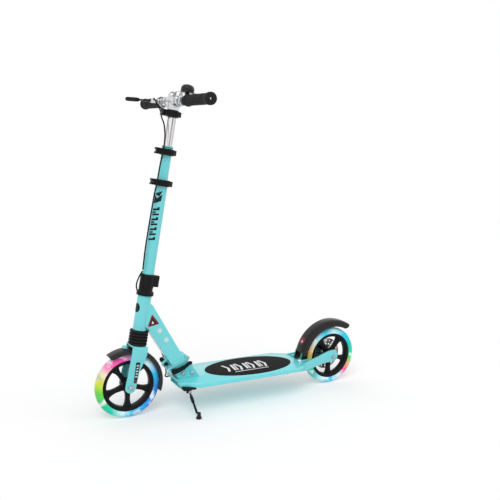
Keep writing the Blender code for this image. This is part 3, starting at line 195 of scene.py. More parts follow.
class Graph:
    """One material's node tree, ending in a Principled shader."""

    def __init__(self, name: str) -> None:
        """Make an empty material.

        Args:
            name: The material's name.
        """
        self.material = bpy.data.materials.new(name)
        self.material.use_nodes = True
        self.tree = self.material.node_tree
        self.tree.nodes.clear()
        self.output = self.tree.nodes.new("ShaderNodeOutputMaterial")
        coordinates = self.tree.nodes.new("ShaderNodeTexCoord")
        self.position = coordinates.outputs["Object"]

    def node(self, kind: str, settings: dict[str, Any], values: dict[Any, Any]) -> bpy.types.Node:
        """Add a node.

        Args:
            kind: The node's type.
            settings: Properties that are set before any socket; "stops" fills a colour ramp.
            values: Numbers, colours, signals or sockets, by input name or index.

        Returns:
            The new node.
        """
        made = self.tree.nodes.new(kind)
        for key, value in settings.items():
            if key == "stops":
                self._fill_ramp(made.color_ramp, value)
            else:
                setattr(made, key, value)
        for key, value in values.items():
            target = made.inputs[key]
            if isinstance(value, Signal):
                self.tree.links.new(value.socket, target)
            elif isinstance(value, bpy.types.NodeSocket):
                self.tree.links.new(value, target)
            else:
                target.default_value = value
        return made

    @staticmethod
    def _fill_ramp(ramp: bpy.types.ColorRamp, stops: Sequence[tuple[float, Colour]]) -> None:
        """Give a colour ramp its stops.

        Args:
            ramp: The ramp.
            stops: Pairs of position and colour, in order.
        """
        while len(ramp.elements) < len(stops):
            ramp.elements.new(1.0)
        for element, (place, colour) in zip(ramp.elements, stops):
            element.position = place
            element.color = (*colour, 1)

    def noise(self, scale: float, detail: float = 2.0, stretch: Point3 = (1, 1, 1)) -> Signal:
        """Noise in the object's space.

        Args:
            scale: Features per metre.
            detail: Octaves.
            stretch: Scale along each axis, which draws the noise out into lines.

        Returns:
            A value about 0.5.
        """
        vector = self.position
        if stretch != (1, 1, 1):
            drawn = {"Vector": vector, "Scale": stretch}
            vector = self.node("ShaderNodeMapping", {}, drawn).outputs[0]
        values = {"Vector": vector, "Scale": scale, "Detail": detail}
        return Signal(self, self.node("ShaderNodeTexNoise", {}, values).outputs["Fac"])

    def edges(self) -> Signal:
        """How convex the surface is: above 0.5 on outer edges."""
        return Signal(self, self.node("ShaderNodeNewGeometry", {}, {}).outputs["Pointiness"])

    def axes(self) -> tuple[Signal, ...]:
        """The object position's X, Y and Z."""
        split = self.node("ShaderNodeSeparateXYZ", {}, {0: self.position})
        return tuple(Signal(self, socket) for socket in split.outputs)

    def mix(self, share: Any, first: Any, second: Any) -> bpy.types.NodeSocket:
        """Mix two colours.

        Args:
            share: How much of the second colour, 0 to 1.
            first: A colour or colour socket.
            second: A colour or colour socket.

        Returns:
            The mixed colour's socket.
        """
        values = {"Factor": share, MIX_FIRST: opaque(first), MIX_SECOND: opaque(second)}
        return self.node("ShaderNodeMix", {"data_type": "RGBA"}, values).outputs[MIX_RESULT]

    def ramp(self, value: Signal, stops: Sequence[tuple[float, Colour]]) -> bpy.types.NodeSocket:
        """Colours along a value."""
        return self.node("ShaderNodeValToRGB", {"stops": stops}, {"Fac": value}).outputs["Color"]

    def bump(self, height: Signal, strength: float, distance: float) -> bpy.types.NodeSocket:
        """A normal from a height."""
        values = {"Height": height, "Strength": strength, "Distance": distance}
        return self.node("ShaderNodeBump", {}, values).outputs["Normal"]

    def surface(self, **sockets: Any) -> bpy.types.Material:
        """Add the Principled shader and link it to the output.

        Args:
            **sockets: Values by input name, with spaces as underscores.

        Returns:
            The finished material.
        """
        values = {key.replace("_", " "): opaque(value) for key, value in sockets.items()}
        shader = self.node("ShaderNodeBsdfPrincipled", {}, values)
        self.tree.links.new(shader.outputs[0], self.output.inputs["Surface"])
        return self.material


# Finishes --------------------------------------------------


@dataclass(frozen=True)
class Finish:
    """A named surface finish. Subclasses say how it is shaded."""

    name: str
    colour: Colour
    roughness: float = 0.4

    def material(self) -> bpy.types.Material:
        """The finish's material, made on first use."""
        return bpy.data.materials.get(self.name) or self.shade(Graph(self.name))

    def shade(self, graph: Graph) -> bpy.types.Material:
        """Build the nodes of the finish.

        Args:
            graph: An empty graph.

        Returns:
            The finished material.
        """
        raise NotImplementedError


def opaque(value: Any) -> Any:
    """A colour given its alpha; any other value as it is."""
    return (*value, 1) if isinstance(value, tuple) and len(value) == 3 else value


def tinted(colour: Colour, factor: float) -> Colour:
    """A colour made lighter or darker by a factor."""
    return tuple(min(1.0, part * factor) for part in colour)


@dataclass(frozen=True)
class PowderCoat(Finish):
    """Gloss paint on aluminium, with orange peel, faint handling marks and thin wear on edges."""

    wear: Colour = (0.62, 0.64, 0.64)

    def shade(self, graph: Graph) -> bpy.types.Material:
        """Build the paint."""
        patches = graph.noise(9.0, 3.0)
        scuffs = graph.noise(160.0, 4.0, (1.0, 0.25, 1.0))
        body = graph.mix(patches, tinted(self.colour, 0.955), tinted(self.colour, 1.035))
        marks = scuffs.above(0.66, 0.10) * 0.16
        scuffed = graph.mix(marks, body, tinted(self.colour, 1.25))
        worn = graph.edges().above(0.56, 0.05) * graph.noise(420.0).above(0.56, 0.10) * 0.35
        peel = graph.noise(900.0, 1.0) * 0.6 + graph.noise(3200.0, 1.0) * 0.2
        return graph.surface(
            Base_Color=graph.mix(worn, scuffed, self.wear),
            Roughness=self.roughness + scuffs * 0.12,
            Normal=graph.bump(peel, 0.10, 0.0004),
            Coat_Weight=0.65,
            Coat_Roughness=0.08,
            Specular_IOR_Level=0.5,
        )


@dataclass(frozen=True)
class Moulded(Finish):
    """Moulded plastic with a fine spark texture and rubbed edges."""

    grain: float = 2200.0
    depth: float = 0.18
    sheen: float = 0.11

    def shade(self, graph: Graph) -> bpy.types.Material:
        """Build the plastic."""
        flow = graph.noise(26.0, 3.0)
        grain = graph.noise(self.grain, 2.0)
        rub = graph.edges().above(0.54, 0.06) * 0.5
        colour = graph.mix(flow, tinted(self.colour, 0.8), tinted(self.colour, 1.3))
        return graph.surface(
            Base_Color=graph.mix(rub, colour, tinted(self.colour, 2.6)),
            Roughness=self.roughness + grain * 0.10 + flow * 0.08 - 0.08,
            Normal=graph.bump(grain, self.depth, 0.0003),
            Specular_IOR_Level=self.sheen,
        )


@dataclass(frozen=True)
class Rubber(Finish):
    """Matt rubber with a dusty bloom."""

    def shade(self, graph: Graph) -> bpy.types.Material:
        """Build the rubber."""
        bloom = graph.noise(60.0, 4.0)
        pores = graph.noise(3000.0, 2.0)
        dust = bloom.above(0.48, 0.25) * 0.5
        return graph.surface(
            Base_Color=graph.mix(dust, self.colour, tinted(self.colour, 1.9)),
            Roughness=self.roughness + bloom * 0.12 - 0.05,
            Normal=graph.bump(pores, 0.30, 0.0003),
            Specular_IOR_Level=0.15,
        )


@dataclass(frozen=True)
class Metal(Finish):
    """Bare or plated metal with fine brush lines along one axis and dark painted reflections in
    bands along it.
    """

    stretch: Point3 = (1.0, 1.0, 0.06)
    lines: float = 1800.0
    depth: float = 0.05
    # Strength of the dark painted reflection bands.
    band: float = 0.15

    def shade(self, graph: Graph) -> bpy.types.Material:
        """Build the metal."""
        brush = graph.noise(self.lines, 2.0, self.stretch)
        stain = graph.noise(70.0, 4.0)
        plated = graph.mix(stain.above(0.42, 0.3), tinted(self.colour, 0.93), self.colour)
        # Painted reflections: dark bands drawn along one axis, standing in for dark surroundings
        # that bright metal reflects.
        bands = graph.noise(95.0, 1.0, (1.0, 1.0, 0.02)).above(0.53, 0.05) * self.band
        colour = graph.mix(bands, plated, tinted(self.colour, 0.22))
        return graph.surface(
            Base_Color=colour,
            Metallic=1.0,
            Roughness=self.roughness + brush * 0.10 + stain * 0.08 - 0.08,
            Normal=graph.bump(brush, self.depth, 0.0002),
        )


@dataclass(frozen=True)
class PaintedReflectionChrome(Finish):
    """Bright plate on the steering tube, with painted reflections: light and dark bands drawn
    round its axis.
    """

    # Light and dark stops by the angle round the tube: painted reflections.
    bands: tuple[tuple[float, Colour], ...] = ()

    def shade(self, graph: Graph) -> bpy.types.Material:
        """Build the plate."""
        x, y, z = graph.axes()
        origin = STEER.translation
        across = (x - origin.x) * cos(RAKE) - (z - origin.z) * sin(RAKE)
        turn = y.angle_to(across) / (2 * pi) + 1.0
        brush = graph.noise(1400.0, 2.0, (1.0, 1.0, 0.05))
        stain = graph.noise(40.0, 3.0)
        # Painted reflections: the colour follows light and dark bands round the steering axis.
        painted_reflection = graph.ramp((turn + stain * 0.012).fraction(), self.bands)
        return graph.surface(
            Base_Color=graph.mix(stain * 0.25, painted_reflection, self.colour),
            Metallic=1.0,
            Roughness=self.roughness + brush * 0.08,
            Normal=graph.bump(brush, 0.03, 0.0002),
        )


@dataclass(frozen=True)
class GritTape(Finish):
    """Anti-slip tape: dark grit with pale worn grains."""

    def shade(self, graph: Graph) -> bpy.types.Material:
        """Build the grit."""
        grains = graph.node("ShaderNodeTexVoronoi", {}, {"Vector": graph.position, "Scale": 950.0})
        height = 1.0 - Signal(graph, grains.outputs["Distance"])
        tread = graph.noise(14.0, 4.0)
        worn = tread.above(0.45, 0.3) * height.above(0.62, 0.2)
        return graph.surface(
            Base_Color=graph.mix(worn * 0.55, self.colour, tinted(self.colour, 4.5)),
            Roughness=self.roughness - tread * 0.12,
            Normal=graph.bump(height, 0.75, 0.0006),
            Specular_IOR_Level=0.15,
        )


@dataclass(frozen=True)
class GlowTyre(Finish):
    """Clear polyurethane with bands of colour round the axle and a painted glow: it emits light
    though it holds no lamp, most strongly near the hub, with painted highlights over it.
    """

    centre: Point2 = (0.0, 0.1)
    stops: tuple[tuple[float, Colour], ...] = ()
    inner: float = 0.080
    outer: float = 0.100

    def shade(self, graph: Graph) -> bpy.types.Material:
        """Build the tyre."""
        x, _, z = graph.axes()
        across = x - self.centre[0]
        up = z - self.centre[1]
        wobble = graph.noise(38.0, 2.0)
        turn = up.angle_to(across) / (2 * pi) + 1.0 + wobble * 0.05
        glow = graph.ramp(turn.fraction(), self.stops)
        distance = (across * across + up * up).root()
        rise = (distance - self.inner) / (self.outer - self.inner)
        # Streaks that strengthen the painted glow and the pull towards the band colours.
        painted_glow_streaks = graph.noise(220.0, 2.0).above(0.30, 0.5)
        # Painted highlights: pale patches laid over the band colours.
        painted_highlights = graph.noise(34.0, 1.0).above(0.54, 0.16) * 0.85
        deep = graph.noise(27.0, 2.0, (1.0, 0.4, 1.0)).above(0.54, 0.20) * 0.30
        # Painted glow, brightest near the hub as if lit from inside; the tyre holds no lamp.
        lamp = (1.0 - rise.above(0.15, 0.9)) * 0.75 + 0.25
        lit = graph.mix(deep, graph.mix(painted_highlights, glow, (0.86, 0.95, 0.97)), (0.000, 0.120, 0.260))
        body = graph.mix(0.93 + painted_glow_streaks * 0.07, self.colour, lit)
        ripple = graph.noise(500.0, 2.0)
        return graph.surface(
            Base_Color=body,
            Roughness=self.roughness + ripple * 0.10,
            # Painted glow: the tyre emits its band colours without being a lamp.
            Emission_Color=graph.mix(lamp * (0.45 + painted_glow_streaks * 0.55), (0.02, 0.03, 0.03), lit),
            Emission_Strength=0.34,
            Specular_IOR_Level=0.14,
            Normal=graph.bump(ripple, 0.08, 0.0005),
            Transmission_Weight=0.06,
            IOR=1.49,
            Coat_Weight=0.05,
            Coat_Roughness=0.05,
        )


@dataclass(frozen=True)
class Ink(Finish):
    """Printed film: flat colour with faint print grain and thin scratches."""

    def shade(self, graph: Graph) -> bpy.types.Material:
        """Build the print."""
        grain = graph.noise(1500.0, 2.0)
        scratch = graph.noise(500.0, 3.0, (1.0, 1.0, 0.12)).above(0.68, 0.06) * 0.25
        colour = graph.mix(grain, tinted(self.colour, 0.86), tinted(self.colour, 1.12))
        return graph.surface(
            Base_Color=graph.mix(scratch, colour, (0.55, 0.58, 0.58)),
            Roughness=self.roughness + grain * 0.10,
            Normal=graph.bump(grain, 0.08, 0.0002),
            Specular_IOR_Level=0.18,
        )


@dataclass(frozen=True)
class Backdrop(Finish):
    """A white floor that keeps the shadow and shows white to the eye and to reflections."""

    lift: float = 0.10

    def shade(self, graph: Graph) -> bpy.types.Material:
        """Build the floor."""
        path = graph.node("ShaderNodeLightPath", {}, {})
        rays = ("Is Camera Ray", "Is Glossy Ray", "Is Transmission Ray")
        seen, glossy, through = (Signal(graph, path.outputs[ray]) for ray in rays)
        base = graph.node("ShaderNodeBsdfDiffuse", {}, {"Color": opaque(self.colour)})
        glow = {"Color": (1, 1, 1, 1), "Strength": (seen + (glossy + through)) * self.lift}
        light = graph.node("ShaderNodeEmission", {}, glow)
        both = graph.node("ShaderNodeAddShader", {}, {0: base.outputs[0], 1: light.outputs[0]})
        graph.tree.links.new(both.outputs[0], graph.output.inputs["Surface"])
        return graph.material


# Colours round the front axle, for the tyre's colour and its painted glow; the pale stops are
# painted highlights.
FRONT_GLOW_AND_HIGHLIGHTS = (
    (0.00, (0.00, 0.16, 0.56)),
    (0.08, (0.00, 0.46, 0.78)),
    (0.15, (0.60, 0.82, 0.88)),
    (0.22, (0.02, 0.58, 0.82)),
    (0.31, (0.90, 0.03, 0.34)),
    (0.38, (0.92, 0.10, 0.42)),
    (0.43, (0.85, 0.72, 0.60)),
    (0.49, (0.80, 0.80, 0.02)),
    (0.55, (0.12, 0.66, 0.02)),
    (0.61, (0.00, 0.56, 0.16)),
    (0.67, (0.00, 0.60, 0.44)),
    (0.73, (0.55, 0.85, 0.88)),
    (0.79, (0.00, 0.54, 0.82)),
    (0.90, (0.00, 0.24, 0.74)),
    (1.00, (0.00, 0.16, 0.56)),
)
# The rear tyre's colours and painted glow; the pale stops are painted highlights.
REAR_GLOW_AND_HIGHLIGHTS = (
    (0.00, (0.02, 0.66, 0.12)),
    (0.08, (0.00, 0.58, 0.50)),
    (0.17, (0.00, 0.58, 0.80)),
    (0.26, (0.55, 0.85, 0.88)),
    (0.33, (0.00, 0.56, 0.80)),
    (0.41, (0.60, 0.82, 0.84)),
    (0.48, (0.85, 0.42, 0.06)),
    (0.55, (0.04, 0.66, 0.12)),
    (0.63, (0.00, 0.60, 0.60)),
    (0.71, (0.58, 0.86, 0.88)),
    (0.78, (0.00, 0.54, 0.82)),
    (0.85, (0.66, 0.82, 0.86)),
    (0.91, (0.92, 0.06, 0.32)),
    (0.96, (0.76, 0.38, 0.12)),
    (1.00, (0.02, 0.66, 0.12)),
)

PAINT = PowderCoat("turquoise_gloss", (0.150, 0.690, 0.730), 0.26)
# Painted light: the same turquoise made lighter for the deck, for the light falling on its top.
DECK_PAINT_WITH_PAINTED_LIGHT = PowderCoat("turquoise_deck_painted_light", (0.150, 0.745, 0.790), 0.30)
PLASTIC = Moulded("black_moulding", (0.008, 0.008, 0.009), 0.34)
GUARD_PLASTIC = Moulded("black_guard", (0.012, 0.011, 0.011), 0.34, 1500.0, 0.12, 0.30)
GLOSS_PLASTIC = Moulded("gloss_guard", (0.009, 0.007, 0.007), 0.17, 1500.0, 0.04, 0.30)
BELL_BLACK = Moulded("bell_black", (0.006, 0.006, 0.007), 0.18, 900.0, 0.04, 0.34)
BLACK_METAL = Moulded("black_anodised", (0.008, 0.008, 0.009), 0.32, 3200.0, 0.10)
GRIP_RUBBER = Rubber("grip_rubber", (0.015, 0.015, 0.015), 0.62)
BOOT_RUBBER = Rubber("boot_rubber", (0.009, 0.009, 0.010), 0.50)
CABLE_JACKET = Moulded("cable_jacket_black", (0.007, 0.007, 0.007), 0.42, 1200.0, 0.10)
# The chrome's last value, 0.80, makes its painted reflection bands strong; the zinc and disc steel
# below keep the faint default.
CHROME = Metal(
    "bright_chrome_plate", (0.70, 0.71, 0.73), 0.20, (1.0, 1.0, 0.05), 1200.0, 0.03, 0.80
)
# Painted reflections on the bright tube: light and dark bands by the angle round its axis.
TUBE_PAINTED_REFLECTIONS = (
    (0.00, (0.62, 0.60, 0.60)),
    (0.10, (0.16, 0.15, 0.15)),
    (0.16, (0.78, 0.78, 0.79)),
    (0.34, (0.80, 0.80, 0.81)),
    (0.42, (0.14, 0.12, 0.12)),
    (0.50, (0.66, 0.64, 0.63)),
    (0.57, (0.30, 0.27, 0.26)),
    (0.62, (0.86, 0.86, 0.87)),
    (0.70, (0.84, 0.83, 0.84)),
    (0.735, (0.20, 0.17, 0.17)),
    (0.78, (0.80, 0.79, 0.79)),
    (0.86, (0.44, 0.40, 0.39)),
    (0.92, (0.74, 0.73, 0.73)),
    (1.00, (0.62, 0.60, 0.60)),
)
TUBE_CHROME = PaintedReflectionChrome("tube_plate_painted_reflections", (0.70, 0.70, 0.71), 0.14, TUBE_PAINTED_REFLECTIONS)
STEEL = Metal("zinc_plate", (0.50, 0.51, 0.53), 0.34)
DISC_STEEL = Metal("disc_steel", (0.52, 0.52, 0.53), 0.30, (1.0, 0.1, 1.0), 1500.0, 0.08)
TAPE = GritTape("deck_grit", (0.011, 0.010, 0.011), 0.88)
TYRE_CLEAR = (0.60, 0.86, 0.90)
FRONT_TYRE = GlowTyre("front_tyre_glow", TYRE_CLEAR, 0.10, FRONT_AXLE.xz[:], FRONT_GLOW_AND_HIGHLIGHTS)
REAR_TYRE = GlowTyre("rear_tyre_glow", TYRE_CLEAR, 0.10, REAR_AXLE.xz[:], REAR_GLOW_AND_HIGHLIGHTS)
BLACK_INK = Ink("black_print", (0.012, 0.013, 0.014), 0.38)
WHITE_INK = Ink("white_print", (0.80, 0.82, 0.82), 0.45)
PALE_FILM = Ink("pale_sticker", (0.52, 0.70, 0.72), 0.35)
PALE_INK = Ink("pale_print", (0.62, 0.80, 0.82), 0.35)
RED_INK = Ink("red_print", (0.28, 0.022, 0.040), 0.35)
FLOOR_WHITE = Backdrop("floor_white", (0.90, 0.90, 0.90), 1.0, 0.17)


# Mesh making -----------------------------------------------


def shift(x: float, y: float, z: float) -> Matrix:
    """A move."""
    return Matrix.Translation((x, y, z))


def spin(angle: float, axis: str) -> Matrix:
    """A turn about one of the axes, in radians."""
    return Matrix.Rotation(angle, 4, axis)


def turns_of(count: int) -> list[float]:
    """Evenly spaced angles round a full turn."""
    return [2 * pi * index / count for index in range(count)]


def bridge(bm: bmesh.types.BMesh, low: Sequence[Any], high: Sequence[Any]) -> None:
    """Join two rings of vertices with a band of faces."""
    for index in range(len(low)):
        after = (index + 1) % len(low)
        bm.faces.new((low[index], low[after], high[after], high[index]))


def saved(bm: bmesh.types.BMesh, name: str) -> Mesh:
    """A bmesh as a new mesh. The bmesh is freed."""
    mesh = bpy.data.meshes.new(name)
    bm.to_mesh(mesh)
    bm.free()
    return mesh


def linked(name: str, data: bpy.types.ID) -> bpy.types.Object:
    """A new object in the scene, holding the data."""
    made = bpy.data.objects.new(name, data)
    bpy.context.scene.collection.objects.link(made)
    return made


def to_mesh(bm: bmesh.types.BMesh, name: str) -> Mesh:
    """Weld and close off a bmesh as a mesh whose faces point outwards.

    Args:
        bm: The shape, freed here.
        name: The mesh's name.

    Returns:
        The new mesh.
    """
    bmesh.ops.remove_doubles(bm, verts=bm.verts, dist=1e-7)
    bmesh.ops.recalc_face_normals(bm, faces=bm.faces)
    return saved(bm, name)


def loft(rings: Sequence[Sequence[Any]], name: str, split_ends: bool = False) -> Mesh:
    """A closed skin over rings of points, with an end face on the first and the last.

    Args:
        rings: Rings with the same number of points, in order.
        name: The mesh's name.
        split_ends: Whether the end faces are split into triangles.

    Returns:
        A closed mesh.
    """
    bm = bmesh.new()
    loops = [[bm.verts.new(point) for point in ring] for ring in rings]
    for low, high in zip(loops, loops[1:]):
        bridge(bm, low, high)
    ends = [bm.faces.new(loops[0]), bm.faces.new(loops[-1])]
    if split_ends:
        bmesh.ops.triangulate(bm, faces=ends)
    return to_mesh(bm, name)


def moved(mesh: Mesh, matrix: Matrix) -> Mesh:
    """The same mesh after a transform."""
    mesh.transform(matrix)
    if matrix.determinant() < 0:
        mesh.flip_normals()
    return mesh


def merged(*meshes: Mesh) -> Mesh:
    """Several shapes as one mesh, without welding them.

    Args:
        *meshes: The shapes; all but the result are removed.

    Returns:
        The joined mesh.
    """
    bm = bmesh.new()
    for mesh in meshes:
        bm.from_mesh(mesh)
    for mesh in meshes:
        bpy.data.meshes.remove(mesh)
    return saved(bm, "joined")


def mirrored(half: Sequence[Point2]) -> list[Point2]:
    """An outline completed by its image across the first coordinate's axis."""
    return [*half, *((first, -second) for first, second in reversed(half))]


def oval(half: Point2, centre: Point2 = (0.0, 0.0), count: int = 32) -> list[Point2]:
    """Points round an ellipse, given its half axes."""
    return [(centre[0] + half[0] * cos(a), centre[1] + half[1] * sin(a)) for a in turns_of(count)]


def filleted(
    points: Sequence[Point2], radius: float, steps: int = 3, closed: bool = True
) -> list[Point2]:
    """Round a polyline's corners.

    Args:
        points: The corners.
        radius: How far a fillet starts from its corner, at most.
        steps: Segments in each fillet.
        closed: Whether the last point joins the first.

    Returns:
        The rounded outline.
    """
    count = len(points)
    found: list[Point2] = []
    for index, point in enumerate(points):
        if not closed and index in (0, count - 1):
            found.append(point)
            continue
        corner = Vector(point)
        before = Vector(points[index - 1]) - corner
        after = Vector(points[(index + 1) % count]) - corner
        reach = min(radius, before.length * 0.45, after.length * 0.45)
        start = corner + before.normalized() * reach
        end = corner + after.normalized() * reach
        for step in range(steps + 1):
            t = step / steps
            spot = start * (1 - t) ** 2 + corner * 2 * t * (1 - t) + end * t * t
            found.append((spot.x, spot.y))
    return found


def lathe(profile: Sequence[Point2], segments: int = 96, closed: bool = True) -> Mesh:
    """Turn a profile about Z.

    Args:
        profile: (radius, height) points.
        segments: Steps round the axis.
        closed: Whether the last point joins the first, as in a ring. Otherwise both ends lie
            on the axis.

    Returns:
        A closed mesh.
    """
    bm = bmesh.new()
    rings = []
    for radius, height in profile:
        if radius < 1e-7:
            rings.append([bm.verts.new((0, 0, height))] * segments)
            continue
        spots = ((radius * cos(a), radius * sin(a), height) for a in turns_of(segments))
        rings.append([bm.verts.new(spot) for spot in spots])
    pairs = list(zip(rings, rings[1:]))
    if closed:
        pairs.append((rings[-1], rings[0]))
    for low, high in pairs:
        for index in range(segments):
            after = (index + 1) % segments
            corners = []
            for vertex in (low[index], low[after], high[after], high[index]):
                if vertex not in corners:
                    corners.append(vertex)
            if len(corners) > 2:
                bm.faces.new(corners)
    return to_mesh(bm, "lathe")


def sweep(path: Sequence[Vector], radius: float, sides: int = 12) -> Mesh:
    """A round tube along a path, with flat ends.

    Args:
        path: Points along the middle of the tube.
        radius: The tube's radius.
        sides: Sides of its section.

    Returns:
        A closed mesh.
    """
    rings = []
    normal = (path[1] - path[0]).orthogonal().normalized()
    for index, point in enumerate(path):
        ahead = path[min(index + 1, len(path) - 1)] - path[max(index - 1, 0)]
        along = ahead.normalized()
        normal = (normal - along * normal.dot(along)).normalized()
        side = along.cross(normal)
        turns = turns_of(sides)
        rings.append([point + (normal * cos(a) + side * sin(a)) * radius for a in turns])
    return loft(rings, "sweep")


def smooth_path(points: Sequence[Vector], step: float = 0.004) -> list[Vector]:
    """Points about one step apart on a smooth curve through the given ones.

    Args:
        points: The points to pass through.
        step: The spacing.

    Returns:
        The path.
    """
    ends = [points[0] * 2 - points[1], *points, points[-1] * 2 - points[-2]]
    path = [points[0]]
    for before, start, end, after in zip(ends, ends[1:], ends[2:], ends[3:]):
        count = max(1, round((end - start).length / step))
        for index in range(1, count + 1):
            t = index / count
            bend = 2 * before - 5 * start + 4 * end - after
            twist = 3 * start - before - 3 * end + after
            path.append(0.5 * (2 * start + (end - before) * t + bend * t * t + twist * t**3))
    return path


def plate(outline: Sequence[Point2], thickness: float, edge: float = 0.0) -> Mesh:
    """A flat plate in XY about Z = 0, with bevelled edges.

    Args:
        outline: Its corners.
        thickness: Its thickness.
        edge: The bevel's width.

    Returns:
        A closed mesh.
    """
    bm = bmesh.new()
    low = [bm.verts.new((x, y, -thickness / 2)) for x, y in outline]
    high = [bm.verts.new((x, y, thickness / 2)) for x, y in outline]
    bm.faces.new(low[::-1])
    bm.faces.new(high)
    bridge(bm, low, high)
    mesh = to_mesh(bm, "plate")
    return softened(mesh, edge) if edge else mesh


def block(size: Point3, centre: Point3, edge: float) -> Mesh:
    """A rectangular lump with bevelled edges."""
    x, y, z = size
    corners = [(-x / 2, -y / 2), (x / 2, -y / 2), (x / 2, y / 2), (-x / 2, y / 2)]
    return moved(plate(corners, z, edge), Matrix.Translation(centre))


def softened(mesh: Mesh, width: float, angle: float = 38.0, segments: int = 2) -> Mesh:
    """Bevel a mesh's sharp edges.

    Args:
        mesh: The shape, removed here.
        width: The bevel's width.
        angle: Edges sharper than this are bevelled, in degrees.
        segments: Steps in each bevel.

    Returns:
        The bevelled mesh.
    """
    helper = linked("helper", mesh)
    bevel = helper.modifiers.new("edge", "BEVEL")
    bevel.width = width
    bevel.segments = segments
    bevel.limit_method = "ANGLE"
    bevel.angle_limit = radians(angle)
    bevel.miter_outer = "MITER_ARC"
    result = evaluated(helper)
    bpy.data.objects.remove(helper)
    return result


def evaluated(helper: bpy.types.Object) -> Mesh:
    """The object's mesh with its modifiers applied."""
    bpy.context.view_layer.update()
    graph = bpy.context.evaluated_depsgraph_get()
    return bpy.data.meshes.new_from_object(helper.evaluated_get(graph))


def carried(node: str, edge: float = 0.0) -> Mesh:
    """A welded copy of a CAD node's mesh, with softened edges.

    Args:
        node: The CAD node's name.
        edge: The bevel's width, or 0 for none.

    Returns:
        The copy.
    """
    bm = bmesh.new()
    bm.from_mesh(frame["nodes"][node].data)
    bmesh.ops.remove_doubles(bm, verts=bm.verts, dist=WELD)
    bmesh.ops.dissolve_limit(bm, angle_limit=radians(0.5), verts=bm.verts, edges=bm.edges)
    mesh = saved(bm, node)
    layer = mesh.attributes.get("custom_normal")
    if layer:
        mesh.attributes.remove(layer)
    return softened(mesh, edge) if edge else mesh


def tube(
    outer: float,
    inner: float,
    bottom: float,
    top: float,
    lip: float = 0.0006,
    segments: int = 96,
) -> Mesh:
    """A round tube about Z with softened lips."""
    profile = [(outer, bottom), (outer, top), (inner, top), (inner, bottom)]
    return lathe(filleted(profile, lip, 2), segments)


def disc_edge(centre: Point2, radius: float, start: float, end: float, count: int) -> list[Point2]:
    """Points on an arc, angles in degrees."""
    turns = (radians(start + (end - start) * index / count) for index in range(count + 1))
    return [(centre[0] + radius * cos(a), centre[1] + radius * sin(a)) for a in turns]


def socket_head(radius: float, height: float) -> Mesh:
    """A button-head screw with a hexagon socket, standing on Z = 0.

    Args:
        radius: The head's radius.
        height: The head's height.

    Returns:
        A closed mesh.
    """
    turns = turns_of(24)
    def hexagon(a: float) -> float:
        """The radius of a unit hexagon at an angle."""
        return cos(pi / 6) / cos((a % (pi / 3)) - pi / 6)

    levels: list[tuple[float, Callable[[float], float], float]] = [
        (radius, lambda a: 1.0, 0.0),
        (radius, lambda a: 1.0, height * 0.35),
        (radius * 0.90, lambda a: 1.0, height * 0.72),
        (radius * 0.68, lambda a: 1.0, height),
        (radius * 0.50, hexagon, height),
        (radius * 0.47, hexagon, height * 0.35),
    ]
    rings = [[(r * f(a) * cos(a), r * f(a) * sin(a), z) for a in turns] for r, f, z in levels]
    return loft(rings, "socket_head")


def head_pair(x: float, y: float, z: float, radius: float, height: float = 0.0022) -> list[Mesh]:
    """Socket heads on both ends of a crosswise bolt that reaches y from the middle."""
    return [
        moved(socket_head(radius, height), shift(x, side * y, z) @ spin(-side * pi / 2, "X"))
        for side in (-1, 1)
    ]


# Repeats by Geometry Nodes ---------------------------------


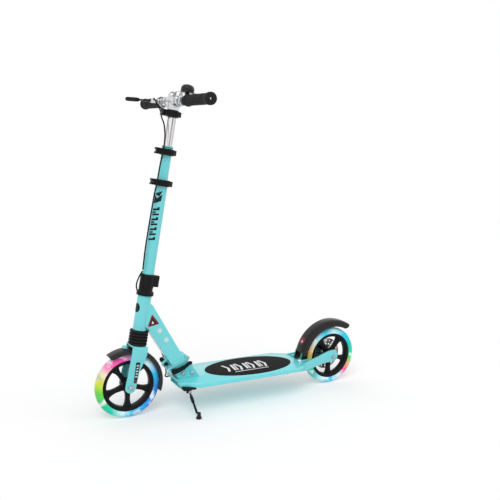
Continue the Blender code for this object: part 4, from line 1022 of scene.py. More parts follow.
@dataclass(frozen=True)
class Repeat:
    """One element repeated round the Z axis and along it."""

    around: int
    rows: int = 1
    pitch: float = 0.0
    twist: float = 0.0

    TREE = "repeat_round_axis"

    def tree(self) -> bpy.types.NodeTree:
        """The shared node tree, made on first use.

        Returns:
            A tree with inputs Around, Rows, Pitch, Twist and Material.
        """
        found = bpy.data.node_groups.get(self.TREE)
        if found:
            return found
        tree = bpy.data.node_groups.new(self.TREE, "GeometryNodeTree")
        sockets = (
            ("Geometry", "NodeSocketGeometry"),
            ("Around", "NodeSocketInt"),
            ("Rows", "NodeSocketInt"),
            ("Pitch", "NodeSocketFloat"),
            ("Twist", "NodeSocketFloat"),
            ("Material", "NodeSocketMaterial"),
        )
        for name, kind in sockets:
            tree.interface.new_socket(name, in_out="INPUT", socket_type=kind)
        tree.interface.new_socket("Geometry", in_out="OUTPUT", socket_type="NodeSocketGeometry")
        new, link = tree.nodes.new, tree.links.new
        given, result = new("NodeGroupInput").outputs, new("NodeGroupOutput")
        index = new("GeometryNodeInputIndex").outputs[0]

        def maths(operation: str, first: Any, second: Any) -> bpy.types.NodeSocket:
            """One Math node's result."""
            made = new("ShaderNodeMath")
            made.operation = operation
            for target, value in zip(made.inputs, (first, second)):
                if isinstance(value, bpy.types.NodeSocket):
                    link(value, target)
                else:
                    target.default_value = value
            return made.outputs[0]

        total = maths("MULTIPLY", given["Around"], given["Rows"])
        row = maths("FLOOR", maths("DIVIDE", maths("ADD", index, 0.01), given["Around"]), 0.0)
        step = maths("MULTIPLY", maths("DIVIDE", index, given["Around"]), 2 * pi)
        turn = maths("ADD", step, maths("MULTIPLY", row, given["Twist"]))
        place = new("ShaderNodeCombineXYZ")
        link(maths("MULTIPLY", row, given["Pitch"]), place.inputs["Z"])
        rotation = new("ShaderNodeCombineXYZ")
        link(turn, rotation.inputs["Z"])
        points = new("GeometryNodePoints")
        link(total, points.inputs["Count"])
        link(place.outputs[0], points.inputs["Position"])
        copies = new("GeometryNodeInstanceOnPoints")
        link(points.outputs[0], copies.inputs["Points"])
        link(given["Geometry"], copies.inputs["Instance"])
        link(rotation.outputs[0], copies.inputs["Rotation"])
        real = new("GeometryNodeRealizeInstances")
        link(copies.outputs[0], real.inputs[0])
        dressed = new("GeometryNodeSetMaterial")
        link(real.outputs[0], dressed.inputs["Geometry"])
        link(given["Material"], dressed.inputs["Material"])
        link(dressed.outputs[0], result.inputs[0])
        return tree

    def of(self, element: Mesh, finish: Finish) -> Mesh:
        """Repeat an element.

        Args:
            element: The mesh to repeat, in its place beside the Z axis.
            finish: The finish of every copy.

        Returns:
            A plain mesh of all the copies.
        """
        helper = linked("helper", element)
        tree = self.tree()
        modifier = helper.modifiers.new("repeat", "NODES")
        modifier.node_group = tree
        values = {
            "Around": self.around,
            "Rows": self.rows,
            "Pitch": self.pitch,
            "Twist": self.twist,
            "Material": finish.material(),
        }
        for item in tree.interface.items_tree:
            if item.in_out == "INPUT" and item.name in values:
                modifier[item.identifier] = values[item.name]
        result = evaluated(helper)
        bpy.data.objects.remove(helper)
        return result


# Assemblies ------------------------------------------------


@dataclass
class Assembly:
    """A group of pieces that ride on one CAD body."""

    body: str

    def put(
        self,
        name: str,
        mesh: Mesh,
        finish: Finish,
        nodes: Sequence[str] = (),
        smooth: float = 40.0,
    ) -> bpy.types.Object:
        """Make a finished piece that rides on the body.

        Args:
            name: The piece's name.
            mesh: Its mesh, in the scooter's frame.
            finish: Its finish.
            nodes: The CAD nodes it stands for.
            smooth: Edges sharper than this stay hard, in degrees.

        Returns:
            The piece.
        """
        mesh.name = name
        mesh.materials.clear()
        mesh.materials.append(finish.material())
        mesh.shade_smooth()
        mesh.set_sharp_from_angle(angle=radians(smooth))
        piece = linked(name, mesh)
        self.carry(piece)
        if nodes:
            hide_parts(*nodes)
        LOG.info("%s on %s: %d faces", name, self.body, len(mesh.polygons))
        return piece

    def carry(self, piece: bpy.types.Object) -> None:
        """Make the piece ride on the assembly's body."""
        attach(piece, self.body)

    def dress(self, node: str, finish: Finish, edge: float = 0.0) -> bpy.types.Object:
        """Stand a softened copy in for a CAD node whose shape is right."""
        return self.put(node + "_skin", carried(node, edge), finish, (node,))

    def build(self) -> None:
        """Make the assembly's pieces."""
        raise NotImplementedError


@dataclass
class TubeAssembly(Assembly):
    """An assembly with a turned tube on the steering axis."""

    outer: float = 0.0
    inner: float = 0.0
    bottom: float = 0.0
    top: float = 0.0

    def build_tube(self, node: str, finish: Finish, *more: Mesh) -> None:
        """Make the tube in place of a CAD node.

        Args:
            node: The CAD node's name.
            finish: The tube's finish.
            *more: Shapes that are one piece with the tube.
        """
        shape = merged(tube(self.outer, self.inner, self.bottom, self.top), *more)
        self.put(node + "_turned", moved(shape, STEER), finish, (node,))


@dataclass
class Wheel(Assembly):
    """A cast wheel: clear tyre, five-spoke rim and its bearing."""

    end: str = "front"
    centre: Vector = field(default_factory=FRONT_AXLE.copy)
    glow: Finish = FRONT_TYRE
    radius: float = 0.100
    half_width: float = 0.015
    seat: float = 0.0797
    ring: float = 0.0677
    hub: float = 0.0210
    rim_half: float = 0.0125
    spokes: int = 5

    def turned(self, mesh: Mesh) -> Mesh:
        """Move a mesh from the wheel's own Z axis to its axle."""
        return moved(mesh, Matrix.Translation(self.centre) @ ALONG_Y)

    def fit(self, suffix: str, mesh: Mesh, finish: Finish, node: str) -> None:
        """Put a mesh on the axle in place of one of the wheel's nodes."""
        self.put(f"{self.end}_{suffix}", self.turned(mesh), finish, (f"{self.end}_{node}",))

    def build(self) -> None:
        """Make the wheel."""
        self.build_tyre()
        self.build_rim()
        self.build_bearing()

    def build_tyre(self) -> None:
        """Make the tyre with a raised bead line on each side."""
        half = [
            (self.radius, 0.0060),
            (self.radius - 0.0030, 0.0112),
            (self.radius - 0.0100, self.half_width),
            (self.radius - 0.0135, self.half_width),
            (self.radius - 0.0140, self.half_width - 0.0008),
            (self.radius - 0.0185, self.half_width - 0.0010),
            (self.radius - 0.0200, self.half_width - 0.0018),
        ]
        ring = lathe(filleted(mirrored(half), 0.0026, 4), 128)
        self.fit("tyre_ring", ring, self.glow, "tyre")

    def spoke(self) -> Mesh:
        """One flared spoke that points down, with a raised rib on each face."""
        widths = (
            (0.0185, 0.0100),
            (0.0260, 0.0078),
            (0.0400, 0.0066),
            (0.0540, 0.0078),
            (0.0640, 0.0118),
            (0.0690, 0.0150),
        )
        outline = [(w, -r) for r, w in widths] + [(-w, -r) for r, w in reversed(widths)]
        blade = plate(filleted(outline, 0.004, 3), 0.0110, 0.0012)
        side, start, end = 0.0028, -0.0195, -0.0670
        ridge = [(side, start), (side, end), (-side, end), (-side, start)]
        return merged(blade, plate(filleted(ridge, 0.002), 0.0136, 0.0010))

    def build_rim(self) -> None:
        """Make the rim: a lipped ring, the hub and the spokes."""
        ring = [
            (self.seat, 0.0112),
            (self.seat - 0.0012, self.rim_half),
            (self.ring + 0.0034, self.rim_half),
            (self.ring + 0.0022, self.rim_half - 0.0022),
            (self.ring, self.rim_half - 0.0034),
        ]
        hub = [
            (self.hub, 0.0060),
            (self.hub, self.rim_half - 0.002),
            (self.hub - 0.002, self.rim_half),
            (0.0113, self.rim_half),
        ]
        rim = merged(
            lathe(filleted(mirrored(ring), 0.0010, 2), 112),
            lathe(filleted(mirrored(hub), 0.0010, 2), 64),
            Repeat(self.spokes).of(self.spoke(), PLASTIC),
        )
        self.fit("rim_cast", rim, PLASTIC, "rim")

    def build_bearing(self) -> None:
        """Make the bearing's rings and its recessed shield."""
        face, shield = self.rim_half, 0.0117
        half = [(0.0110, face), (0.0094, face), (0.0090, shield)]
        half += [(0.0062, shield), (0.0058, face), (0.0043, face)]
        self.fit("bearing_ring", lathe(mirrored(half), 48), STEEL, "bearing")


@dataclass
class BrakeDisc(Wheel):
    """The rear wheel's disc, with two rings of holes round it."""

    plane: float = 0.0184
    thickness: float = 0.0018
    outer: float = 0.0550
    inner: float = 0.0190
    holes: int = 20

    def sector(self) -> Mesh:
        """One sector of the disc, with a round hole in each of its two outer bands."""
        steps = 6
        shares = [index / steps for index in range(steps + 1)]
        bands = (
            (self.inner, 0.0290, None),
            (0.0290, 0.0410, (0.0350, 0.0034)),
            (0.0410, self.outer, (0.0470, 0.0030)),
        )
        half = Vector((0, 0, self.thickness / 2))
        bm = bmesh.new()

        def spots(radius: float) -> list[Vector]:
            """Points on an arc across the sector."""
            turns = ((share - 0.5) * 2 * pi / self.holes for share in shares)
            return [Vector((radius * cos(a), radius * sin(a), 0)) for a in turns]

        def both(points: Sequence[Vector]) -> list[list[bmesh.types.BMVert]]:
            """The points as vertices on the lower and on the upper face."""
            return [[bm.verts.new(point + level) for point in points] for level in (-half, half)]

        for low, high, hole in bands:
            border = spots(low) + spots(high)[::-1]
            faces = both(border)
            if hole is None:
                for corners in faces:
                    bm.faces.new(corners)
                continue
            place, radius = hole
            centre = Vector((place, 0, 0))
            rings = both([centre + (point - centre).normalized() * radius for point in border])
            for corners, ring in zip(faces, rings):
                bridge(bm, corners, ring)
            bridge(bm, *rings)
        for radius in (self.inner, self.outer):
            low_arc, high_arc = both(spots(radius))
            for a, b, c, d in zip(low_arc, low_arc[1:], high_arc[1:], high_arc):
                bm.faces.new((a, b, c, d))
        return to_mesh(bm, "sector")

    def beside(self, lift: float) -> Matrix:
        """The transform from Z to the wheel's axis, this far out from the disc's plane."""
        out = Vector((0, self.plane + lift, 0))
        return Matrix.Translation(self.centre + out) @ spin(-pi / 2, "X")

    def build(self) -> None:
        """Make the disc with its boss, and its screws."""
        ring = Repeat(self.holes).of(self.sector(), DISC_STEEL)
        bm = bmesh.new()
        bm.from_mesh(ring)
        bpy.data.meshes.remove(ring)
        band = to_mesh(bm, "band")
        face, wide, narrow = self.thickness / 2, 0.0192, 0.0150
        end = self.rim_half + GAP - self.plane
        outline = [(wide, face), (wide, end), (narrow, end), (narrow, face)]
        boss = lathe(filleted(outline, 0.0003, 1), 48)
        disc = moved(merged(band, boss), self.beside(0))
        self.put("brake_disc_plate", disc, DISC_STEEL, ("brake_disc",), 30.0)
        screw = moved(socket_head(0.0026, 0.0015), shift(0.0235, 0, 0))
        heads = Repeat(5).of(screw, STEEL)
        self.put("disc_screws", moved(heads, self.beside(face)), STEEL)


@dataclass
class Guard(Assembly):
    """A channel mudguard swept over a wheel."""

    node: str = "front_mudguard"
    centre: Vector = field(default_factory=FRONT_AXLE.copy)
    start: float = -15.0
    end: float = 122.0
    half_width: float = 0.0230
    depth: float = 0.0130
    wall: float = 0.0030
    finish: Finish = GUARD_PLASTIC
    crown: float = 0.1078
    flare: float = 0.0072

    def radius_at(self, share: float) -> float:
        """The crown's radius at a share of the guard's length: it flares, then stays even."""
        return self.crown + self.flare * min(1.0, share * 1.6)

    def section(self, share: float) -> list[Point2]:
        """The channel's (radial, width) section at a share of its length, crown at radial 0."""
        ease = min(1.0, min(share, 1 - share) / 0.06)
        depth = self.depth * (0.55 + 0.45 * (1 - (1 - ease) ** 2))
        half, inner = self.half_width, self.half_width - self.wall
        outside = [(0.0, half * 0.45), (-0.0010, half * 0.74), (-0.0040, half - 0.0008)]
        outside += [(-0.0075, half), (-depth, half)]
        inside = [(-depth, inner), (-0.0080, inner), (-0.0055, inner - 0.0012)]
        return mirrored(outside + inside + [(-self.wall, half * 0.55)])

    def shell(self, count: int = 72) -> Mesh:
        """The swept channel.

        Args:
            count: Steps along the guard.

        Returns:
            A closed mesh.
        """
        rings = []
        for index in range(count + 1):
            share = index / count
            a = radians(self.start + (self.end - self.start) * share)
            spots = ((self.radius_at(share) + out, width) for out, width in self.section(share))
            rings.append([(reach * cos(a), width, reach * sin(a)) for reach, width in spots])
        return moved(loft(rings, "guard", True), Matrix.Translation(self.centre))

    def build(self) -> None:
        """Make the guard and the painted tab on its crown."""
        shell = self.shell()
        self.put(self.node + "_shell", shell, self.finish, (self.node,), 32.0)
        tab = block((0.012, 0.017, 0.0075), (0, 0, 0), 0.001)
        lean = shift(-0.3815, 0, 0.2195) @ spin(radians(4), "Y")
        self.put("guard_tab", moved(tab, lean), PAINT)


@dataclass
class FootBrake(Guard):
    """The rear guard that is pressed on the tyre: shell, foot plates and brake block."""

    crown: float = 0.1310
    flare: float = 0.0

    def build(self) -> None:
        """Make the foot brake."""
        foot = [(0.2470, 0.1330), (0.2415, 0.1000), (0.2470, 0.0925)]
        foot += [(0.2600, 0.0935), (0.2660, 0.1030), (0.2680, 0.1300)]
        parts = [self.shell()]
        for side in (-1, 1):
            cheek = plate(filleted(foot, 0.004), self.wall + 0.001, 0.0008)
            inset = self.half_width - self.wall / 2 - 0.0006
            parts.append(moved(cheek, shift(0, side * inset, 0) @ ALONG_Y))
        middle = self.centre.xz[:]
        pad = disc_edge(middle, 0.1065, 78, 100, 8) + disc_edge(middle, 0.1290, 100, 78, 8)
        parts.append(moved(plate(pad, 0.030, 0.0008), ALONG_Y))
        shell = merged(*parts)
        self.put("rear_mudguard_shell", shell, self.finish, (self.node,), 32.0)
        self.build_sticker()

    def build_sticker(self) -> None:
        """Make the small oval label near the guard's foot."""
        a, reach = radians(151), 0.1312
        spot = self.centre + Vector((reach * cos(a), 0, reach * sin(a)))
        lie = Matrix.Translation(spot) @ spin(pi / 2 - a, "Y")
        self.put("guard_label", moved(plate(oval((0.0135, 0.0115)), 0.0006), lie), RED_INK)
        chevron = [(-0.0070, -0.0060), (0.0050, 0.0), (-0.0070, 0.0060), (-0.0035, 0.0)]
        core = plate(filleted(chevron, 0.0008, 2), FILM)
        self.put("guard_label_core", moved(core, lie @ shift(0, 0, 0.0003)), WHITE_INK)


@dataclass
class Deck(Assembly):
    """The deck, its grip tape, the rear fork, the hinge bracket and the caliper."""

    tape_centre: Point2 = (0.047, 0.0)
    tape_half: Point2 = (0.157, 0.080)
    tape_top: float = 0.1043

    def build(self) -> None:
        """Make the deck's pieces."""
        # The deck wears the lighter copy of the paint: painted light on its top.
        self.dress("deck", DECK_PAINT_WITH_PAINTED_LIGHT, 0.0007)
        self.dress("rear_fork", PAINT, 0.0010)
        self.dress("hinge_bracket", PAINT, 0.0006)
        self.dress("kickstand_bracket", BLACK_METAL, 0.0008)
        self.dress("brake_caliper", BLACK_METAL, 0.0010)
        bolts = ("bracket_bolt_front", "bracket_bolt_rear", "hinge_pin", "rear_axle")
        for node in ("mudguard_pin", *bolts):
            self.dress(node, STEEL, 0.0003)
        self.build_tape()
        self.build_marks()
        self.build_heads()

    def build_tape(self) -> None:
        """Make the oval of grip tape, crowned at its edge."""
        half_x, half_y = self.tape_half
        rings = []
        for share, level in ((1.0, -0.0010), (1.0, -0.0004), (0.992, 0.0)):
            edge = oval((half_x * share, half_y * share), self.tape_centre, 128)
            rings.append([(x, y, self.tape_top + level) for x, y in edge])
        tape = loft(rings, "tape")
        self.put("grip_tape_oval", tape, TAPE, ("grip_tape",), 60.0)

    def build_marks(self) -> None:
        """Make the plain white blocks and chevrons printed along the tape."""
        shapes: list[list[Point2]] = []
        pitch, lean = 0.0228, 0.006
        chevron = ((-0.009, -1), (-0.001, -1), (0.009, 0), (-0.001, 1), (-0.009, 1), (0.001, 0))
        for index in range(7):
            x = -0.034 + index * pitch
            if index % 2:
                half = 0.026
                for left, right in ((x - 0.007, x + 0.001), (x + 0.004, x + 0.009)):
                    top = [(right + lean, half), (left + lean, half)]
                    shapes.append([(left, -half), (right, -half), *top])
            else:
                shapes.append([(x + along, 0.030 * side) for along, side in chevron])
        shapes.append([(-0.024, -0.042), (0.100, -0.042), (0.102, -0.038), (-0.022, -0.038)])
        marks = [plate(filleted(shape, 0.0012, 2), 0.0003) for shape in shapes]
        mesh = moved(merged(*marks), shift(0, 0, self.tape_top + 0.0002))
        self.put("tape_marks", mesh, WHITE_INK)

    def build_heads(self) -> None:
        """Make the socket heads on the bracket's bolts and the rear axle."""
        heads = (
            head_pair(-0.2010, 0.0308, 0.1205, 0.0054)
            + head_pair(-0.1715, 0.0308, 0.1190, 0.0054)
            + head_pair(REAR_AXLE.x, 0.0366, AXLE_HEIGHT, 0.0062)
        )
        self.put("deck_socket_heads", merged(*heads), STEEL, (), 30.0)


@dataclass
class Neck(TubeAssembly):
    """The folding neck with its head tube and latch bolt."""

    outer: float = 0.0210
    inner: float = 0.0180
    bottom: float = 0.1709
    top: float = 0.2770

    def build(self) -> None:
        """Make the neck's pieces."""
        self.dress("neck", PAINT, 0.0009)
        bands = [tube(0.0214, 0.0205, h, h + 0.004, 0.0005) for h in (0.1712, 0.2727)]
        self.build_tube("head_tube", PAINT, *bands)
        self.dress("headset_lower", STEEL)
        self.dress("headset_upper", STEEL)
        self.dress("latch_bolt", BLACK_METAL, 0.0004)
        self.build_stickers()

    def build_stickers(self) -> None:
        """Make the near side's labels: two discs, a triangle, and an oval on the head tube."""
        flat_y = -0.0202
        lie = shift(0, flat_y, 0) @ ALONG_Y
        centres = ((-0.2780, 0.2640), (-0.2565, 0.2330))

        def film(outline: Sequence[Point2], layer: int = 0) -> Mesh:
            """A flat label, this many layers out from the neck."""
            mesh = moved(plate(outline, FILM), lie)
            for _ in range(layer):
                mesh = moved(mesh, FILM_STEP)
            return mesh

        pale = [film(oval((0.0085, 0.0085), centre)) for centre in centres]
        self.put("neck_round_labels", merged(*pale), PALE_FILM)
        dots = [film(oval((0.0058, 0.0058), centre), 1) for centre in centres]
        self.put("neck_label_dots", merged(*dots), PALE_INK)
        triangle = filleted([(-0.3170, 0.2785), (-0.2790, 0.2860), (-0.3035, 0.3180)], 0.005, 3)
        self.put("neck_triangle", film(triangle), RED_INK)
        inner = filleted([(-0.3118, 0.2828), (-0.2868, 0.2878), (-0.3030, 0.3080)], 0.003, 3)
        self.put("neck_triangle_core", film(inner, 1), BLACK_INK)
        chip = filleted([(-0.3050, 0.2875), (-0.2960, 0.2890), (-0.3020, 0.2975)], 0.001, 2)
        self.put("neck_triangle_chip", film(chip, 2), WHITE_INK)
        label = wrapped(oval((0.0120, 0.0140), (0.0, 0.2385)), 0.02115, -168)
        self.put("head_label", moved(label, STEER), BLACK_INK)


def wrapped(
    outline: Sequence[Point2], radius: float, facing: float, thickness: float = 0.0003
) -> Mesh:
    """A thin label wrapped round a tube about Z.

    Args:
        outline: (arc length, height) corners, without holes.
        radius: The tube's radius.
        facing: The angle that arc length 0 faces, in degrees.
        thickness: The label's thickness.

    Returns:
        A closed mesh.
    """
    flat = plate(outline, thickness)
    bm = bmesh.new()
    bm.from_mesh(flat)
    bpy.data.meshes.remove(flat)
    low = min(x for x, _ in outline)
    high = max(x for x, _ in outline)
    cuts = max(2, math.ceil((high - low) / (radius * radians(12))))
    for index in range(1, cuts):
        everything = bm.verts[:] + bm.edges[:] + bm.faces[:]
        at = low + (high - low) * index / cuts
        bmesh.ops.bisect_plane(bm, geom=everything, plane_co=(at, 0, 0), plane_no=(1, 0, 0))
    for vertex in bm.verts:
        a = radians(facing) + vertex.co.x / radius
        reach = radius + vertex.co.z
        vertex.co = Vector((reach * cos(a), reach * sin(a), vertex.co.y))
    return to_mesh(bm, "wrapped")


@dataclass
class Column(TubeAssembly):
    """The lower tube, its collar and steerer, and the printed marks."""

    outer: float = 0.0180
    inner: float = 0.0160
    bottom: float = 0.2790
    top: float = 0.6253

    def build(self) -> None:
        """Make the column's pieces."""
        self.build_tube("column_tube", PAINT)
        self.dress("steerer", STEEL)
        self.dress("lock_collar", PLASTIC, 0.0010)
        heights = (0.3015, 0.3085, 0.3320)
        rings = [tube(0.0220, 0.0205, h, h + 0.0022, 0.0006, 64) for h in heights]
        self.put("collar_ribs", moved(merged(*rings), STEER), PLASTIC)
        self.build_marks()

    def build_marks(self) -> None:
        """Make the black print up the near side: a ladder of slanted blocks under a wing."""
        left, right = -0.0110, 0.0105
        wide = [(left, 0.0), (right, 0.0036), (right, 0.0092), (left, 0.0056)]
        short = [(left, 0.0074), (0.0010, 0.0094), (0.0010, 0.0138), (left, 0.0118)]
        hook = [(left, 0.0), (right, 0.0036), (right, 0.0130)]
        hook += [(0.0035, 0.0118), (0.0035, 0.0082), (left, 0.0056)]
        shapes: list[list[Point2]] = []
        for index in range(7):
            base = 0.4430 + index * 0.0148
            for outline in (wide, short) if index % 2 else (hook,):
                shapes.append([(x, base + rise) for x, rise in outline])
        wing = [(-0.0120, 0.5520), (0.0110, 0.5630), (0.0120, 0.5830)]
        wing += [(-0.0020, 0.5690), (-0.0120, 0.5790), (-0.0110, 0.5660)]
        tip = [(-0.0120, 0.5810), (0.0040, 0.5760), (0.0120, 0.5930), (-0.0010, 0.5870)]
        marks = [wrapped(shape, 0.01812, -130) for shape in (*shapes, wing, tip)]
        self.put("column_marks", moved(merged(*marks), STEER), BLACK_INK)


@dataclass
class Clamp(Assembly):
    """A split clamp ring on a tube, with its bolt."""

    name: str = "mid_clamp"
    height: float = 0.6158
    tube_radius: float = 0.018

    def build(self) -> None:
        """Make the clamp's pieces."""
        self.dress(self.name, BLACK_METAL, 0.0007)
        self.dress(self.name + "_bolt", STEEL, 0.0003)
        place = shift(-(self.tube_radius + 0.0098), 0.0149, self.height) @ spin(-pi / 2, "X")
        head = moved(socket_head(0.0042, 0.0016), STEER @ place)
        self.put(self.name + "_head", head, STEEL, (), 30.0)


@dataclass
class Single(Assembly):
    """A body with one CAD node, softened and finished."""

    node: str = ""
    finish: Finish = BLACK_METAL
    edge: float = 0.0008

    def build(self) -> None:
        """Make the piece."""
        self.dress(self.node, self.finish, self.edge)


@dataclass
class Fork(Assembly):
    """The sprung fork with its boot, spring and axle."""

    boot_bottom: float = 0.1243
    boot_top: float = 0.1706
    ribs: int = 5
    boot_radius: float = 0.0285
    spring_low: float = 0.2065
    spring_high: float = 0.2585
    travel: float = 0.008

    def build(self) -> None:
        """Make the fork's pieces."""
        self.dress("fork", PAINT, 0.0010)
        self.dress("front_axle", STEEL, 0.0003)
        self.build_boot()
        self.build_spring()
        self.build_label()
        heads = head_pair(FRONT_AXLE.x, 0.0360, AXLE_HEIGHT, 0.0062)
        self.put("fork_socket_heads", merged(*heads), STEEL, (), 30.0)

    def build_boot(self) -> None:
        """Make the ribbed boot."""
        pitch = (self.boot_top - self.boot_bottom) / self.ribs
        outer: list[Point2] = []
        for index in range(self.ribs):
            low = self.boot_bottom + index * pitch
            outer += [
                (self.boot_radius - 0.0048, low + pitch * 0.02),
                (self.boot_radius - 0.0005, low + pitch * 0.22),
                (self.boot_radius, low + pitch * 0.40),
                (self.boot_radius, low + pitch * 0.62),
                (self.boot_radius - 0.0005, low + pitch * 0.78),
            ]
        outer.append((self.boot_radius - 0.0048, self.boot_top))
        inner = [(0.0200, self.boot_top), (0.0200, self.boot_bottom)]
        boot = moved(lathe(filleted(outer + inner, 0.0012, 3), 80), STEER)
        piece = self.put("fork_boot", boot, BOOT_RUBBER, ("bellows",), 50.0)
        self.shorten(piece, self.boot_bottom, self.boot_top)

    def build_spring(self) -> None:
        """Make the coil spring inside the steerer."""
        turns, steps, radius = 5, 28, 0.0082
        count = turns * steps
        path = []
        for index in range(count + 1):
            a = 2 * pi * index / steps
            rise = self.spring_low + (self.spring_high - self.spring_low) * index / count
            path.append(STEER @ Vector((radius * cos(a), radius * sin(a), rise)))
        coil = sweep(path, 0.0012, 10)
        piece = self.put("fork_coil", coil, STEEL, ("fork_spring",), 60.0)
        self.shorten(piece, self.spring_low, self.spring_high)

    def shorten(self, piece: bpy.types.Object, low: float, high: float) -> None:
        """Give the piece a mesh of its own."""
        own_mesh(piece)

    def build_label(self) -> None:
        """Make the plain strip label down the near leg."""
        lie = STEER @ shift(0, -0.0314, 0) @ ALONG_Y
        outline = [(-0.0048, 0.013), (0.0048, 0.013), (0.0066, 0.078), (-0.0066, 0.078)]
        strip = moved(plate(filleted(outline, 0.003, 3), FILM), lie)
        self.put("leg_label", strip, BLACK_INK)
        spot = plate(oval((0.0036, 0.0052), (0.0, 0.0205)), FILM)
        self.put("leg_label_oval", moved(spot, FILM_STEP @ lie), RED_INK)
        bars = []
        for index in range(5):
            z = 0.0310 + index * 0.0086
            half = 0.0030 if index % 2 else 0.0038
            bar = [(-half, z), (half, z + 0.001), (half, z + 0.0052), (-half, z + 0.0042)]
            bars.append(plate(bar, FILM))
        self.put("leg_label_bars", moved(merged(*bars), FILM_STEP @ lie), PALE_FILM)


@dataclass
class UpperTube(TubeAssembly):
    """The middle tube of the telescoping column."""

    outer: float = 0.0155
    inner: float = 0.0133
    bottom: float = 0.4500
    top: float = 0.7250

    def build(self) -> None:
        """Make the tube with its dark ring at the top."""
        self.build_tube("upper_tube", PAINT, tube(0.0167, 0.0150, 0.7190, 0.7245))
        ring = tube(0.01685, 0.0160, 0.7198, 0.7212, 0.0001)
        self.put("upper_tube_line", moved(ring, STEER), BLACK_INK)


@dataclass
class HandlebarHead(TubeAssembly):
    """The bright inner tube and the cast head that holds both bars."""

    outer: float = 0.0128
    inner: float = 0.0112
    bottom: float = 0.5600
    top: float = 0.8379
    barrel: float = 0.0165
    barrel_half: float = 0.0445

    def build(self) -> None:
        """Make the head's pieces."""
        self.build_tube("inner_tube", TUBE_CHROME)
        self.build_head()

    def build_head(self) -> None:
        """Make the cast head: barrel, socket, domes, clevis cheeks and screws."""
        lift = shift(0, 0, BAR_HEIGHT)
        end, radius = self.barrel_half, self.barrel
        barrel = [(0, -end), (radius - 0.002, -end), (radius, -end + 0.003)]
        barrel += [(radius, end - 0.003), (radius - 0.002, end), (0, end)]
        parts = [moved(lathe(filleted(barrel, 0.001, 3, False), 64, False), lift @ ALONG_Y)]
        parts.append(tube(0.0173, 0.0131, 0.8295, BAR_HEIGHT - 0.006, 0.0008, 64))
        dome = [(0, 0.0300), (0.0068, 0.0288), (0.0118, 0.0245), (0.0135, 0.0170)]
        dome += [(0.0135, 0.0145), (0.0142, 0.0140), (0.0142, 0.0050), (0, 0.0050)]
        for y in (-0.0215, 0.0215):
            cap = lathe(filleted(dome, 0.0022, 4, False), 48, False)
            parts.append(moved(cap, lift @ shift(0, y, 0)))
        pivot, reach = 0.058, 0.0120
        edge = disc_edge((pivot, 0), reach, -90, 90, 10)
        edge += [(end - 0.004, reach), (end - 0.004, -reach)]
        for side in (-1, 1):
            for fore in (-1, 1):
                turn = shift(fore * 0.0085, 0, 0) @ spin(side * pi / 2, "Z") @ ALONG_Y
                parts.append(moved(plate(edge, 0.0070, 0.0008), lift @ turn))
                screw = shift(fore * 0.0119, side * pivot, 0) @ spin(fore * pi / 2, "Y")
                parts.append(moved(socket_head(0.0052, 0.0018), lift @ screw))
        shape = moved(merged(*parts), STEER)
        self.put("t_head_cast", shape, CHROME, ("t_head",), 34.0)


@dataclass
class Grip(Assembly):
    """A handlebar tube with its ribbed rubber grip."""

    side: Side = Side.LEFT
    radius: float = 0.0155
    start: float = 0.098
    span: float = 0.2485
    bore: float = 0.0113
    bar_end: float = 0.2443
    vent: float = 0.0035

    def outward(self) -> Matrix:
        """The transform from the grip's own Z axis to its bar."""
        return STEER @ shift(0, 0, BAR_HEIGHT) @ spin(-self.side.value * pi / 2, "X")

    def build(self) -> None:
        """Make the bar and the grip."""
        name = self.side.name.lower()
        self.dress(f"{name}_bar", CHROME, 0.0004)
        profile = [
            (self.radius + 0.0020, self.start),
            (self.radius + 0.0020, self.start + 0.0040),
            (self.radius - 0.0008, self.start + 0.0070),
            (self.radius - 0.0010, self.span - 0.020),
            (self.radius + 0.0018, self.span - 0.011),
            (self.radius + 0.0018, self.span - 0.002),
            (self.radius, self.span),
            (self.vent + 0.0010, self.span),
            (self.vent, self.span - 0.001),
            (self.vent, self.bar_end),
            (self.bore, self.bar_end),
            (self.bore, self.start),
        ]
        sleeve = lathe(filleted(profile, 0.0015, 3), 72)
        pads = Repeat(14, 27, 0.0043, pi / 14).of(self.pad(), GRIP_RUBBER)
        mesh = moved(merged(sleeve, pads), self.outward())
        self.put(f"{name}_grip_sleeve", mesh, GRIP_RUBBER, (f"{name}_grip",), 36.0)

    def pad(self) -> Mesh:
        """One raised pad at the grip's inner end."""
        middle = self.start + 0.0105
        corners = ((-1, -0.5), (0, -1), (1, -0.5), (1, 0.5), (0, 1), (-1, 0.5))
        levels = (
            (self.radius - 0.0016, 0.085, 0.00165),
            (self.radius - 0.0001, 0.070, 0.00130),
        )
        rings = []
        for reach, turn, rise in levels:
            spots = [(turn * a, middle + rise * h) for a, h in corners]
            rings.append([(reach * cos(a), reach * sin(a), z) for a, z in spots])
        return loft(rings, "pad")


@dataclass
class Bell(Assembly):
    """The domed bell on its ring."""

    offset: float = -0.0830
    base: float = 0.0215
    top: float = 0.0450
    radius: float = 0.0195
    groove: float = 0.0007

    def build(self) -> None:
        """Make the bell."""
        at = shift(0, self.offset, BAR_HEIGHT)
        dome = [
            (0, self.top),
            (0.0086, self.top - 0.0006),
            (0.0152, self.top - 0.0038),
            (self.radius - self.groove, self.top - 0.0095),
            (self.radius, self.base + 0.0070),
            (self.radius, self.base + 0.0055),
            (self.radius - self.groove, self.base + 0.0048),
            (self.radius - self.groove, self.base + 0.0036),
            (self.radius, self.base + 0.0030),
            (self.radius, self.base),
            (0, self.base),
        ]
        parts = [moved(lathe(filleted(dome, 0.0012, 3, False), 64, False), at)]
        parts.append(moved(tube(0.0145, 0.0113, -0.0055, 0.0055, 0.0008, 48), at @ ALONG_Y))
        parts.append(moved(block((0.010, 0.010, 0.0095), (0, 0, 0.0173), 0.0010), at))
        shape = moved(merged(*parts), STEER)
        self.put("bell_dome", shape, BELL_BLACK, ("bell",), 34.0)


